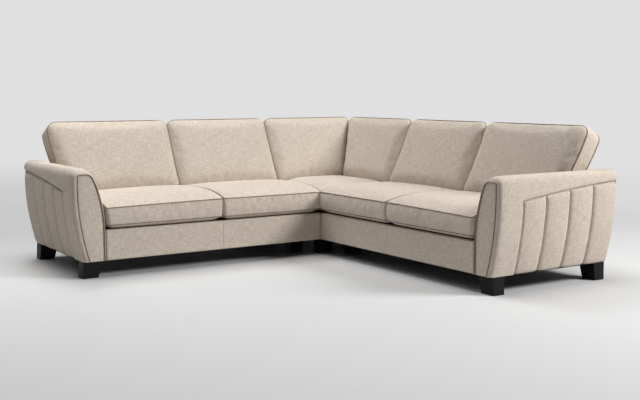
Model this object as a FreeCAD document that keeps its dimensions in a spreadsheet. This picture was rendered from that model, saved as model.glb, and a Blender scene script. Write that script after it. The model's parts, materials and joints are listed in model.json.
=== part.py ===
import FreeCAD, Part
import math
import os
import re

import Sketcher

# Corner sofa: a left wing, a square corner and a right wing, mirrored about the diagonal.
# X runs along the left wing towards the outer corner, Y towards its back, Z up.
# A wing's own places are counted from the inner corner: along it to the arm, and back.

# Driving sizes, in millimetres and degrees
SIZES = {
    # Plan
    "seat_run": 1560,  # inner corner to the arm's foot line
    "unit_depth": 947,  # base front to the back's rear face
    "seat_joint": 764,  # inner corner to the joint of a wing's two seats
    # Heights above the floor
    "underside": 104,
    "rail_top": 279,
    "deck_top": 291,
    "ledge_top": 650,
    "arm_top": 668,
    # Timber and board
    "timber": 28,
    "plywood": 18,
    "cross_rail_height": 150,
    "rear_rail_set": 375,
    # Upholstery skins
    "border_thick": 10,
    "border_flange": 40,
    "border_round": 7,
    "deck_thick": 5,
    "dust_cloth": 1.5,
    "dust_margin": 8,
    "back_panel": 10,
    "lining_set": 339,
    "lining_thick": 6,
    "ledge_pad": 18,
    "ledge_round": 9,
    # Arm outline, from the foot line outwards
    "arm_spread": 206,
    "arm_foot_width": 145,
    "flare_start": 290,
    "flare_round": 850,
    "arm_inner_round": 60,
    "arm_outer_round": 42,
    "arm_side_round": 1550,
    "arm_pad": 22,
    "arm_front_round": 19,
    "inner_pad_top": 560,
    "front_panel_thick": 18,
    "front_panel_round": 5,
    # Channelled panel on the arm's outer side
    "channel_start": 175,
    "channel_gap": 0.5,
    "channel_recess": 13,
    "channel_swell": 11,
    "channel_tuck": 5,
    "seam_front_height": 524,
    "seam_rear_height": 603,
    "seam_bow": 9,
    # Boards inside the arm
    "arm_board_set": 36,
    "arm_board_width": 76,
    "arm_rest_height": 598,
    "arm_rest_set": 104,
    # Back frame
    "recline": 25.5,
    "back_rail_thick": 22,
    "back_rail_width": 76,
    "strap_width": 50,
    "strap_thick": 3,
    "strap_start": 30,
    "strap_pitch": 85,
    # Back cushions
    "back_set": 335,
    "back_low": 455,
    "back_height": 520,
    "back_thick": 115,
    "back_crown": 36,
    "back_crown_reach": 210,
    "back_draw": 5,
    "back_top_round": 55,
    "back_low_round": 30,
    "back_joint_shift": 25,
    "back_first_joint": 777,
    "back_end_clear": 3,
    "back_end_spread": 112,
    "back_end_bow": 7,
    "back_top_bow": 4,
    "cushion_gap": 3,
    "core_set": 30,
    # Seat cushions
    "cushion_lift": 0.3,
    "seat_front": 7,
    "seat_rear_set": 344,
    "seat_low_seam": 321,
    "seat_top_seam": 437,
    "seat_crown": 490,
    "seat_side_crown": 481,
    "seat_rear_drop": 8,
    "seat_low_reach": 60,
    "seat_crown_reach": 300,
    "seat_face_swell": 5,
    "seat_end_draw": 12,
    "seat_end_reach": 34,
    "seat_core_set": 36,
    "seat_core_low": 320,
    "seat_core_high": 425,
    # Sprung platform
    "wire": 4,
    "wire_leg": 40,
    "wire_bends": 16,
    "wing_springs": 10,
    "corner_springs": 4,
    "clip_width": 14,
    "clip_depth": 12,
    "wire_play": 0.1,
    # Feet and fixings
    "foot_width": 98,
    "foot_depth": 78,
    "foot_rake": 26,
    "foot_splay": 6,
    "foot_flare": 5,
    "foot_outer": 148,
    "foot_set": 23,
    "foot_block": 112,
    "bolt": 8,
    "bolt_length": 72,
    "bolt_play": 0.2,
    "plate_length": 120,
    "plate_width": 40,
    "plate_thick": 3,
    "plate_front": 300,
    "plate_rear_set": 247,
    "overrun": 20,
    "edge_slack": 0.01,
}

# Shares chosen by hand
CROWN_REACH_SHARES = (0.05, 0.18, 0.42, 0.75)
SEAT_RISE_SHARE = 0.63
LOW_CURVE_SHARES = (0.44, 0.28)
CHANNEL_LEVEL_SHARES = (0, 0.08, 0.17, 0.28, 0.4, 0.52, 0.64, 0.76, 0.88, 1)
CHANNEL_SWELL_SHARES = (0.3, 0.65, 0.9, 1, 1, 1, 1, 1, 0.95, 0.8)
CORNER_STATION_SHARES = (0, 0.08, 0.2, 0.35, 0.5, 0.75, 1)
CHANNEL_COUNT = 4
BRACKETS_PER_WING = 5
STRAP_COUNT = 3

# Places that several pieces share
CORNER = "(seat_run + arm_spread - unit_depth) / 2"
DECK_LOW = "deck_top - deck_thick"
REAR_FACE = "unit_depth - back_panel"
BACK_RAIL_FRONT = "unit_depth - back_panel - back_rail_thick"
REAR_RAIL_FRONT = "unit_depth - rear_rail_set"
LINING_FRONT = "unit_depth - lining_set"
BACK_FRONT = "unit_depth - back_set"
SEAT_REAR = "unit_depth - seat_rear_set"

doc = FreeCAD.newDocument("corner_sofa")
sheet = doc.addObject("Spreadsheet::Sheet", "Sizes")
for row, (alias, number) in enumerate(SIZES.items(), start=1):
    sheet.set("A%d" % row, alias)
    sheet.set("B%d" % row, str(number))
    sheet.setAlias("B%d" % row, alias)
doc.recompute()

nodes = {}


def ref(text):
    """Point the size names in an expression at the sheet."""
    def named(word):
        return "Sizes." + word.group() if word.group() in SIZES else word.group()
    return re.sub("[a-z_]+", named, text)


def size(text):
    """The present value of an expression in the sheet's names."""
    return float(sheet.evalExpression(text))


def bind(item, values):
    """Tie properties of an object to expressions in the sheet's names."""
    for name, text in values.items():
        item.setExpression(name, ref(text))


def place(item, x="0", y="0", z="0"):
    """Set an object's place, counted from the inner corner of the seats."""
    bind(item, {
        "Placement.Base.x": "%s + %s" % (CORNER, x),
        "Placement.Base.y": "%s + %s" % (CORNER, y),
        "Placement.Base.z": z,
    })
    return item


def keep(name, item):
    """Make an object one of the sofa's named pieces."""
    item.Label = name
    nodes[name] = item
    return item


# Building blocks

def block(name, x, y, z):
    """A board or pad: each of x, y and z is a start and a length."""
    item = doc.addObject("Part::Box", name)
    bind(item, {"Length": x[1], "Width": y[1], "Height": z[1]})
    return place(item, x[0], y[0], z[0])


def group(name, members):
    item = doc.addObject("Part::Compound", name)
    item.Links = members
    return item


def cut(name, base, tool):
    item = doc.addObject("Part::Cut", name)
    item.Base = base
    item.Tool = tool
    return item


def common(name, base, tool):
    item = doc.addObject("Part::Common", name)
    item.Base = base
    item.Tool = tool
    return item


def mirrored(name, source):
    """The same piece on the other side of the sofa's diagonal."""
    item = doc.addObject("Part::Mirroring", name)
    item.Source = source
    item.Normal = FreeCAD.Vector(1, -1, 0)
    return item


def keep_pair(piece, item):
    """Keep a left piece and its mirror image on the right."""
    keep("left_" + piece, item)
    return keep("right_" + piece, mirrored("right_" + piece, item))


def new_body(name, role):
    """A body with an empty sketch on one of its own origin planes."""
    body = doc.addObject("PartDesign::Body", name)
    sketch = body.newObject("Sketcher::SketchObject", name + "_sketch")
    plane = [feature for feature in body.Origin.OriginFeatures if feature.Role == role][0]
    sketch.AttachmentSupport = (plane, [""])
    sketch.MapMode = "FlatFace"
    return body, sketch


def pad(body, sketch, length, start="0", backwards=False):
    item = body.newObject("PartDesign::Pad", body.Name + "_pad")
    item.Profile = sketch
    item.Reversed = backwards
    bind(item, {"Length": length})
    bind(sketch, {"AttachmentOffset.Base.z": start})
    doc.recompute()
    return item


def dimension(sketch, text, kind, *where):
    """Add a sketch dimension that follows an expression."""
    index = sketch.addConstraint(Sketcher.Constraint(kind, *where, size(text)))
    sketch.setExpression("Constraints[%d]" % index, ref(text))


def pin_point(sketch, line, end, x, y):
    """Hold one end of a sketch line at a place given by expressions."""
    for kind, axis, text in (("DistanceX", -2, x), ("DistanceY", -1, y)):
        if text == "0":
            sketch.addConstraint(Sketcher.Constraint("PointOnObject", line, end, axis))
        else:
            dimension(sketch, text, kind, -1, 1, line, end)


def draw_polygon(sketch, corners):
    """A closed outline of straight lines through corners given by expressions."""
    points = [FreeCAD.Vector(size(x), size(y), 0) for x, y in corners]
    count = len(points)
    lines = [Part.LineSegment(points[i], points[(i + 1) % count]) for i in range(count)]
    sketch.addGeometry(lines, False)
    for i, (x, y) in enumerate(corners):
        sketch.addConstraint(Sketcher.Constraint("Coincident", i, 2, (i + 1) % count, 1))
        pin_point(sketch, i, 1, x, y)


def front_edges(low):
    """A test for the edges that lie in an outline's front plane, above a low line."""
    near = size("edge_slack")

    def wanted(edge):
        box = edge.BoundBox
        return abs(box.YMin) < near and abs(box.YMax) < near and box.ZMax > low + near
    return wanted


def round_edges(body, base, radius, wanted):
    """Fillet the edges of a pad that a test picks out."""
    names = ["Edge%d" % (i + 1) for i, edge in enumerate(base.Shape.Edges) if wanted(edge)]
    item = body.newObject("PartDesign::Fillet", body.Name + "_round")
    item.Base = (base, names)
    bind(item, {"Radius": radius})
    return item


# Seat box

def seat_rails():
    front = block("front_rail", ("-seat_run", "seat_run"), ("border_thick", "timber"),
                  ("underside", "rail_top - underside"))
    rear = block("rear_rail", ("-seat_run", "seat_run"), (REAR_RAIL_FRONT, "timber"),
                 ("underside", "rail_top - underside"))
    keep_pair("seat_rails", group("left_seat_rails", [front, rear]))


def cross_rails():
    starts = ("-timber", "-seat_joint - timber / 2", "-seat_run")
    inside = "border_thick + timber"
    boards = [
        block("cross_rail_%s" % mark, (start, "timber"), (inside, REAR_RAIL_FRONT + " - (%s)" % inside),
              ("underside", "cross_rail_height"))
        for mark, start in zip("abc", starts)
    ]
    keep_pair("cross_rails", group("left_cross_rails", boards))


def corner_seat_rails():
    tall = ("underside", "rail_top - underside")
    boards = [
        block("corner_side_a", ("0", "timber"), ("0", REAR_RAIL_FRONT + " + timber"), tall),
        block("corner_side_b", ("timber", REAR_RAIL_FRONT), ("0", "timber"), tall),
        block("corner_side_c", (REAR_RAIL_FRONT, "timber"), ("timber", REAR_RAIL_FRONT), tall),
        block("corner_side_d", ("timber", REAR_RAIL_FRONT + " - timber"), (REAR_RAIL_FRONT, "timber"), tall),
    ]
    keep("corner_seat_rails", group("corner_seat_rails", boards))


def base_border():
    """Padded front of the base, sewn from two lengths, with a flange over the front rail."""
    corners = (
        ("0", "underside"),
        ("border_thick", "underside"),
        ("border_thick", DECK_LOW),
        ("border_flange", DECK_LOW),
        ("border_flange", "deck_top"),
        ("0", "deck_top"),
    )
    panels = []
    for name, start, length in (("border_near", "0", "seat_joint"),
                                ("border_far", "-seat_joint", "seat_run - seat_joint")):
        body, sketch = new_body(name, "YZ_Plane")
        draw_polygon(sketch, corners)
        base = pad(body, sketch, length, start, backwards=True)
        top = size("deck_top")
        slack = size("edge_slack")
        round_edges(body, base, "border_round",
                    lambda edge: edge.BoundBox.YMax < slack and edge.BoundBox.ZMin > top - slack)
        panels.append(place(body))
    keep_pair("base_border", group("left_base_border", panels))


def decks():
    wing = block("left_seat_deck", ("-seat_run", "seat_run"),
                 ("border_flange", LINING_FRONT + " - border_flange"), (DECK_LOW, "deck_thick"))
    keep_pair("seat_deck", wing)
    keep("corner_seat_deck", block("corner_seat_deck", ("0", LINING_FRONT), ("0", LINING_FRONT),
                                   (DECK_LOW, "deck_thick")))


# Springs under the seats

def zigzag_spring(span):
    """One flat zigzag spring, with straight legs across it and half-round bends."""
    pitch = span / size("wire_bends")
    reach = size("wire_leg") / 2
    edges = []
    for leg in range(int(size("wire_bends")) + 1):
        side = 1 if leg % 2 else -1
        start = FreeCAD.Vector(side * reach, leg * pitch, 0)
        end = FreeCAD.Vector(-side * reach, leg * pitch, 0)
        edges.append(Part.LineSegment(start, end).toShape())
        if leg < int(size("wire_bends")):
            crest = FreeCAD.Vector(-side * (reach + pitch / 2), (leg + 0.5) * pitch, 0)
            landing = FreeCAD.Vector(-side * reach, (leg + 1) * pitch, 0)
            edges.append(Part.Arc(end, crest, landing).toShape())
    path = Part.Wire(edges)
    section = Part.Wire([Part.Circle(FreeCAD.Vector(-reach, 0, 0), FreeCAD.Vector(1, 0, 0),
                                     size("wire") / 2).toShape()])
    return path.makePipeShell([section], True, False)


def spring_clip():
    """A clip that holds one end leg of a spring on a rail."""
    width = size("clip_width")
    depth = size("clip_depth")
    height = size(DECK_LOW + " - rail_top")
    body = Part.makeBox(width, depth, height, FreeCAD.Vector(-width / 2, -depth / 2, -height / 2))
    wire = Part.makeCylinder(size("wire / 2 + wire_play"), width, FreeCAD.Vector(-width / 2, 0, 0),
                             FreeCAD.Vector(1, 0, 0))
    return body.cut(wire)


def spring_rows():
    """Where each spring starts, from the inner corner, and how far it spans."""
    front = size("border_thick + timber / 2")
    rear = size(REAR_RAIL_FRONT + " + timber / 2")
    count = int(size("wing_springs"))
    rows = [(-size("seat_run") * (i + 0.5) / count, front, rear - front) for i in range(count)]
    corner_front = size("timber / 2")
    room = size(REAR_RAIL_FRONT + " - timber")
    count = int(size("corner_springs"))
    across = [size("timber") + room * (i + 0.5) / count for i in range(count)]
    return rows, [(x, corner_front, rear - corner_front) for x in across]


def springs():
    corner = size(CORNER)
    height = size("(deck_top - deck_thick + rail_top) / 2")
    rows, middle = spring_rows()
    flip = (FreeCAD.Vector(0, 0, 0), FreeCAD.Vector(1, -1, 0))
    wires = []
    clips = []
    for x, y, span in rows + middle:
        wire = zigzag_spring(span)
        wire.translate(FreeCAD.Vector(corner + x, corner + y, height))
        ends = []
        for end in (0, span):
            clip = spring_clip()
            clip.translate(FreeCAD.Vector(corner + x, corner + y + end, height))
            ends.append(clip)
        both = x < 0
        wires += [wire, wire.mirror(*flip)] if both else [wire]
        clips += ends + [clip.mirror(*flip) for clip in ends] if both else ends
    for name, shapes in (("seat_springs", wires), ("spring_clips", clips)):
        item = doc.addObject("Part::Feature", name)
        item.Shape = Part.Compound(shapes)
        keep(name, item)
    pitch = min(span for x, y, span in rows + middle) / size("wire_bends")
    print("least gap between the legs of a spring: %.1f mm" % (pitch - size("wire")))


# Arm

def arm_centres():
    """Centres of the arm outline's arcs, as the foot line's distance outwards and the height."""
    inner_drop = size("arm_top - arm_inner_round - flare_start")
    inner_gap = size("flare_round - arm_inner_round")
    inner_out = size("flare_round") - math.sqrt(inner_gap ** 2 - inner_drop ** 2)
    inner = (inner_out, size("arm_top - arm_inner_round"))
    outer = (size("arm_spread - arm_outer_round"), size("arm_top - arm_outer_round"))
    foot = (size("arm_foot_width"), size("underside"))
    span = math.hypot(outer[0] - foot[0], outer[1] - foot[1])
    long = size("arm_side_round")
    short = size("arm_side_round - arm_outer_round")
    along = (long ** 2 - short ** 2 + span ** 2) / (2 * span)
    across = math.sqrt(long ** 2 - along ** 2)
    step = ((outer[0] - foot[0]) / span, (outer[1] - foot[1]) / span)
    side = (foot[0] + along * step[0] - across * step[1], foot[1] + along * step[1] + across * step[0])
    return inner, outer, side


def arm_side(height):
    """How far the arm's outer side stands from the foot line at a height."""
    side = arm_centres()[2]
    return side[0] + math.sqrt(size("arm_side_round") ** 2 - (height - side[1]) ** 2)


def arc(centre, radius, start, end):
    """An arc drawn anticlockwise between two points near its circle."""
    turn = [math.atan2(point[1] - centre[1], point[0] - centre[0]) for point in (start, end)]
    circle = Part.Circle(FreeCAD.Vector(centre[0], centre[1], 0), FreeCAD.Vector(0, 0, 1), radius)
    return Part.ArcOfCircle(circle, *turn)


def hold_side_centre(sketch, side):
    """Keep the long side arc's centre where the full outline, which ends at the foot line, has it."""
    centre = FreeCAD.Vector(side[0], side[1], 0)
    foot = FreeCAD.Vector(size("arm_foot_width"), size("underside"), 0)
    circle = sketch.addGeometry(Part.Circle(centre, FreeCAD.Vector(0, 0, 1), size("arm_side_round")), True)
    point = sketch.addGeometry(Part.Point(foot), True)
    sketch.addConstraint(Sketcher.Constraint("Coincident", circle, 3, 5, 3))
    dimension(sketch, "arm_side_round", "Radius", circle)
    pin_point(sketch, point, 1, "arm_foot_width", "underside")
    sketch.addConstraint(Sketcher.Constraint("PointOnObject", point, 1, circle))


def draw_arm_outline(sketch, inset, low):
    """The arm's cross-section, drawn in by an inset and open down to a low line."""
    less = " - " + inset
    inner, outer, side = arm_centres()
    flare = (size("flare_round"), size("flare_start"))
    shift = size(inset)
    rounds = ("flare_round", "arm_inner_round", "arm_outer_round", "arm_side_round")
    radii = [size(name) - shift for name in rounds]
    top = size("arm_top") - shift
    base = size(low)

    def meet(far, near, radius):
        reach = math.hypot(near[0] - far[0], near[1] - far[1])
        return (far[0] + radius * (near[0] - far[0]) / reach, far[1] + radius * (near[1] - far[1]) / reach)

    start = (shift, flare[1])
    crest_in = meet(flare, inner, radii[0])
    crest_out = meet(side, outer, radii[3])
    foot = (side[0] + math.sqrt(radii[3] ** 2 - (base - side[1]) ** 2), base)
    sketch.addGeometry([
        Part.LineSegment(FreeCAD.Vector(shift, base, 0), FreeCAD.Vector(shift, flare[1], 0)),
        arc(flare, radii[0], crest_in, start),
        arc(inner, radii[1], (inner[0], top), crest_in),
        Part.LineSegment(FreeCAD.Vector(inner[0], top, 0), FreeCAD.Vector(outer[0], top, 0)),
        arc(outer, radii[2], crest_out, (outer[0], top)),
        arc(side, radii[3], foot, crest_out),
        Part.LineSegment(FreeCAD.Vector(foot[0], base, 0), FreeCAD.Vector(shift, base, 0)),
    ], False)
    joins = (("Tangent", 0, 2, 1, 2), ("Tangent", 1, 1, 2, 2), ("Tangent", 2, 1, 3, 1),
             ("Tangent", 3, 2, 4, 2), ("Tangent", 4, 1, 5, 2),
             ("Coincident", 5, 1, 6, 1), ("Coincident", 6, 2, 0, 1),
             ("Vertical", 0), ("Horizontal", 3), ("Horizontal", 6))
    for join in joins:
        sketch.addConstraint(Sketcher.Constraint(*join))
    if inset == "0":
        sketch.addConstraint(Sketcher.Constraint("PointOnObject", 0, 1, -2))
    else:
        dimension(sketch, inset, "DistanceX", -1, 1, 0, 1)
    dimension(sketch, low, "DistanceY", -1, 1, 0, 1)
    dimension(sketch, "flare_start", "DistanceY", -1, 1, 0, 2)
    dimension(sketch, "flare_round" + less, "Radius", 1)
    dimension(sketch, "arm_inner_round" + less, "Radius", 2)
    dimension(sketch, "arm_top" + less, "DistanceY", -1, 1, 3, 1)
    dimension(sketch, "arm_outer_round" + less, "Radius", 4)
    dimension(sketch, "arm_spread - arm_outer_round", "DistanceX", -1, 1, 4, 3)
    dimension(sketch, "arm_side_round" + less, "Radius", 5)
    hold_side_centre(sketch, side)


def arm_slice(name, inset, start, length, low="underside"):
    """A piece with the arm's cross-section, from a depth along the arm and so long."""
    body, sketch = new_body(name, "XZ_Plane")
    draw_arm_outline(sketch, inset, low)
    base = pad(body, sketch, length, start)
    body.Placement.Rotation = FreeCAD.Rotation(FreeCAD.Vector(0, 0, 1), 180)
    place(body, "-seat_run")
    return body, base


def arm_zones():
    """Blocks that part the arm's padding: the inner side, and the outer side under the seam."""
    inner = block("arm_inner_zone", ("-seat_run - arm_foot_width / 2", "arm_foot_width / 2 + overrun"),
                  ("-overrun", "unit_depth + 2 * overrun"),
                  ("underside - overrun", "inner_pad_top - underside + overrun"))
    body, sketch = new_body("arm_channel_zone", "YZ_Plane")
    corners = [("channel_start", "underside - overrun")]
    for i in range(CHANNEL_COUNT + 1):
        share = i / CHANNEL_COUNT
        seam = "seam_front_height + (seam_rear_height - seam_front_height) * %s + seam_bow * %s" % (
            share, 4 * share * (1 - share))
        corners.append((channel_edge(i), seam))
    corners.append((channel_edge(CHANNEL_COUNT), "underside - overrun"))
    draw_polygon(sketch, corners)
    pad(body, sketch, "arm_spread", "-seat_run - arm_foot_width / 2", backwards=True)
    return inner, place(body)


def channel_edge(i):
    """The depth of the stitched line between two channels, as an expression."""
    last = "(%s)" % REAR_FACE
    return "channel_start + (%s - channel_start) * %s" % (last, i / CHANNEL_COUNT)


def channel_section(height, recess, swell):
    """A level cut through the channelled panel: four shallow arcs, closed by a flat back."""
    corner = size(CORNER)
    skin = -size("seat_run") - arm_side(height) + recess
    back = -size("seat_run") - arm_side(height) + size("arm_pad - channel_gap")

    def point(out, depth):
        return FreeCAD.Vector(corner + out, corner + depth, height)

    edges = []
    marks = [size(channel_edge(i)) for i in range(CHANNEL_COUNT + 1)]
    for near, far in zip(marks, marks[1:]):
        crest = point(skin - swell, (near + far) / 2)
        edges.append(Part.Arc(point(skin, near), crest, point(skin, far)).toShape())
    edges.append(Part.LineSegment(point(skin, marks[-1]), point(back, marks[-1])).toShape())
    edges.append(Part.LineSegment(point(back, marks[-1]), point(back, marks[0])).toShape())
    edges.append(Part.LineSegment(point(back, marks[0]), point(skin, marks[0])).toShape())
    return Part.Wire(edges)


def channel_panel():
    """Padded panel with upright channels that tuck in at the bottom."""
    low = size("underside")
    rise = size("seam_rear_height + seam_bow - underside")
    wires = []
    for level, swell in zip(CHANNEL_LEVEL_SHARES, CHANNEL_SWELL_SHARES):
        tuck = size("channel_tuck") * (1 - swell)
        wires.append(channel_section(low + rise * level, size("channel_recess") + tuck,
                                     size("channel_swell") * swell))
    item = doc.addObject("Part::Feature", "channel_blank")
    item.Shape = Part.makeLoft(wires, True, True)
    return item


def arms():
    """Arm: timber inside, padding in three pieces round it, and a padded front panel."""
    blank, base = arm_slice("arm_blank", "0", "0", REAR_FACE)
    low = size("underside")
    round_edges(blank, base, "arm_front_round", front_edges(low))
    whole = ("-overrun", "unit_depth + 2 * overrun", "underside - overrun")
    hollow = arm_slice("arm_hollow", "arm_pad", *whole)[0]
    ring = cut("arm_ring", blank, hollow)
    inner, outer = arm_zones()
    keep_pair("arm_inner_pad", common("left_arm_inner_pad", ring, inner))
    upper = cut("arm_upper", ring, inner)
    keep_pair("arm_top_pad", cut("left_arm_top_pad", upper, outer))
    keep_pair("arm_channel_panel", common("left_arm_channel_panel", channel_panel(), outer))
    panel, base = arm_slice("left_arm_front_panel", "arm_pad", "0", "front_panel_thick")
    round_edges(panel, base, "front_panel_round", front_edges(low))
    keep_pair("arm_front_panel", panel)
    return arm_slice("arm_envelope", "0", *whole)[0]


def arm_board(name, out, depth, height):
    """A board that runs along inside the arm; out is counted from the foot line outwards."""
    return block(name, ("-seat_run - %s - %s" % out, out[1]), depth, height)


def arm_frame(holes):
    """Three plywood plates with the arm's section, and boards that run between them."""
    middle = "(unit_depth - back_panel) / 2"
    rear = "unit_depth - back_panel - plywood"
    members = [
        arm_slice("arm_plate_front", "arm_pad", "front_panel_thick", "plywood")[0],
        arm_slice("arm_plate_middle", "arm_pad", middle, "plywood")[0],
        arm_slice("arm_plate_rear", "arm_pad", rear, "plywood")[0],
    ]
    first = "front_panel_thick + plywood"
    second = middle + " + plywood"
    bays = ((first, "%s - (%s)" % (middle, first)), (second, "%s - (%s)" % (rear, second)))
    for i, bay in enumerate(bays):
        members.append(arm_board("arm_low_board_%s" % "ab"[i], ("arm_board_set", "arm_board_width"), bay,
                                 ("underside", "timber")))
        members.append(arm_board("arm_rest_board_%s" % "ab"[i], ("arm_rest_set", "arm_board_width"), bay,
                                 ("arm_rest_height", "timber")))
    keep_pair("arm_frame", cut("left_arm_frame", group("arm_boards", members), holes))


# Back

def back_point(up, deep):
    """A place on the leaning back, as depth and height expressions.

    It is counted up the lean and rearwards from the low front edge of the back cushions.
    """
    depth = BACK_FRONT + " + (%s) * sin(recline) + (%s) * cos(recline)" % (up, deep)
    height = "back_low + (%s) * cos(recline) - (%s) * sin(recline)" % (up, deep)
    return depth, height


def lean_depth(height, deep):
    """The depth at a height of the leaning plane that lies so far behind the cushions' fronts."""
    return BACK_FRONT + " + (%s) / cos(recline) + (%s - back_low) * tan(recline)" % (deep, height)


LEDGE_LOW = "ledge_top - ledge_pad"
BOARD_LOW = "ledge_top - ledge_pad - plywood"
BEHIND_LINING = "back_thick + lining_thick"
BEHIND_STRAPS = "back_thick + lining_thick + strap_thick"
ARM_MIDDLE = "seat_run + arm_foot_width / 2"


def leaning_block(name, x, up, deep):
    """A block that leans with the back cushions."""
    depth, height = back_point(up[0], deep[0])
    item = doc.addObject("Part::Box", name)
    bind(item, {"Length": x[1], "Width": deep[1], "Height": up[1]})
    item.Placement.Rotation = FreeCAD.Rotation(FreeCAD.Vector(1, 0, 0), -size("recline"))
    bind(item, {"Placement.Rotation.Angle": "-recline"})
    return place(item, x[0], depth, height)


def back_profile(name, corners, start, length):
    """A piece of the back with one outline all along a wing, from a start towards the arm."""
    body, sketch = new_body(name, "YZ_Plane")
    draw_polygon(sketch, corners)
    base = pad(body, sketch, length, start, backwards=True)
    place(body)
    return body, base


def lining_corners():
    shelf = "back_low + (lining_set - back_set) * tan(recline)"
    below = shelf + " - lining_thick * tan(recline) - lining_thick / cos(recline)"
    return (
        (LINING_FRONT, DECK_LOW),
        (LINING_FRONT, shelf),
        back_point("0", "back_thick"),
        (lean_depth(LEDGE_LOW, "back_thick"), LEDGE_LOW),
        (lean_depth(LEDGE_LOW, BEHIND_LINING), LEDGE_LOW),
        back_point("-lining_thick", BEHIND_LINING),
        (LINING_FRONT + " + lining_thick", below),
        (LINING_FRONT + " + lining_thick", DECK_LOW),
    )


def bracket_corners():
    below = lining_corners()[6]
    foot = REAR_RAIL_FRONT + " + timber"
    return (
        (foot, "underside"),
        (foot, DECK_LOW),
        (LINING_FRONT + " + lining_thick", DECK_LOW),
        below,
        back_point("-lining_thick", BEHIND_STRAPS),
        (lean_depth(BOARD_LOW, BEHIND_STRAPS), BOARD_LOW),
        (BACK_RAIL_FRONT, BOARD_LOW),
        (BACK_RAIL_FRONT, "underside"),
    )


def ledge_corners():
    return (
        (lean_depth(LEDGE_LOW, "back_thick"), LEDGE_LOW),
        (REAR_FACE, LEDGE_LOW),
        (REAR_FACE, "ledge_top"),
        (lean_depth("ledge_top", "back_thick"), "ledge_top"),
    )


def back_boards(side, start, length):
    """Long boards of a back: one under the ledge and two behind."""
    under = lean_depth(LEDGE_LOW, BEHIND_STRAPS)
    behind = (BACK_RAIL_FRONT, "back_rail_thick")
    return [
        block(side + "_ledge_board", (start, length), (under, "%s - (%s)" % (REAR_FACE, under)),
              (BOARD_LOW, "plywood")),
        block(side + "_high_rail", (start, length), behind,
              (LEDGE_LOW + " - back_rail_width", "back_rail_width")),
        block(side + "_low_rail", (start, length), behind, ("underside", "back_rail_width")),
    ]


def brackets(side, starts):
    return [back_profile("%s_bracket_%d" % (side, i), bracket_corners(), start, "plywood")[0]
            for i, start in enumerate(starts)]


def ledge(side, start, length):
    """Padded ledge behind the back cushions, rounded along its front."""
    body, base = back_profile(side + "_ledge_blank", ledge_corners(), start, length)
    front = size(lean_depth("ledge_top", "back_thick")) + size("edge_slack")
    top = size("ledge_top") - size("edge_slack")
    round_edges(body, base, "ledge_round",
                lambda edge: edge.BoundBox.YMax < front and edge.BoundBox.ZMin > top)
    return body


def wing_back(envelope):
    """The back of a wing, from the joint with the corner to the arm."""
    gap = "(seat_run - plywood) / %d" % (BRACKETS_PER_WING - 1)
    plates = brackets("wing", ["-%s * %d" % (gap, i) for i in range(BRACKETS_PER_WING)])
    boards = back_boards("wing", "-seat_run", "seat_run")
    keep_pair("back_frame", group("left_back_frame", plates + boards))
    lining = back_profile("wing_lining", lining_corners(), "0", ARM_MIDDLE)[0]
    keep_pair("inside_back", cut("left_inside_back", lining, envelope))
    keep_pair("back_ledge", cut("left_back_ledge", ledge("wing", "0", ARM_MIDDLE), envelope))
    panel = block("wing_back_panel", ("-(%s)" % ARM_MIDDLE, ARM_MIDDLE),
                  (REAR_FACE, "back_panel"), ("underside", "ledge_top - underside"))
    end = arm_slice("arm_back_panel", "0", REAR_FACE, "back_panel")[0]
    whole = doc.addObject("Part::Fuse", "left_outside_back")
    whole.Base = panel
    whole.Tool = end
    keep_pair("outside_back", whole)


def mitre_tool():
    """Everything on the right wing's side of the diagonal."""
    body, sketch = new_body("mitre_tool", "XY_Plane")
    far = "unit_depth + overrun"
    draw_polygon(sketch, (("-overrun", "-overrun"), (far, "-overrun"), (far, far)))
    pad(body, sketch, "arm_top", "0")
    return place(body)


def corner_pair(name, half, mitre):
    """Both halves of a corner piece, which meet on the diagonal."""
    side = cut(name + "_half", half, mitre)
    return [side, mirrored(name + "_mirrored", side)]


def corner_back():
    mitre = mitre_tool()
    lining = back_profile("corner_lining_blank", lining_corners(), "unit_depth", "unit_depth")[0]
    shelf = ledge("corner", "unit_depth", "unit_depth")
    for piece, half in (("corner_inside_back", lining), ("corner_back_ledge", shelf)):
        keep(piece, group(piece, corner_pair(piece, half, mitre)))
    panel = block("corner_back_panel", ("0", "unit_depth"), (REAR_FACE, "back_panel"),
                  ("underside", "ledge_top - underside"))
    halves = corner_pair("corner_outside_back", panel, mitre)
    keep("corner_outside_back", group("corner_outside_back", halves))
    plates = brackets("corner", ["plywood", REAR_RAIL_FRONT + " - foot_block"])
    boards = group("corner_boards", plates + back_boards("corner", "0", "unit_depth"))
    halves = corner_pair("corner_back_frame", boards, mitre)
    post_start = BACK_RAIL_FRONT + " - timber"
    post = block("corner_post", (post_start, "timber"), (post_start, "timber"),
                 ("underside + timber", "%s - (underside + timber)" % BOARD_LOW))
    keep("corner_back_frame", group("corner_back_frame", halves + [post]))


def back_webbing():
    """Elastic straps across the brackets, under the lining."""
    straps = []
    for i in range(STRAP_COUNT):
        up = ("strap_start + strap_pitch * %d" % i, "strap_width")
        deep = (BEHIND_LINING, "strap_thick")
        wing = leaning_block("wing_strap_%d" % i, ("-seat_run", "seat_run"), up, deep)
        reach = back_point(up[0], BEHIND_LINING)[0]
        corner = leaning_block("corner_strap_%d" % i, ("0", reach), up, deep)
        straps += [wing, mirrored("wing_strap_mirrored_%d" % i, wing)]
        straps += [corner, mirrored("corner_strap_mirrored_%d" % i, corner)]
    keep("back_webbing", group("back_webbing", straps))


# Back cushions

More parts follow.
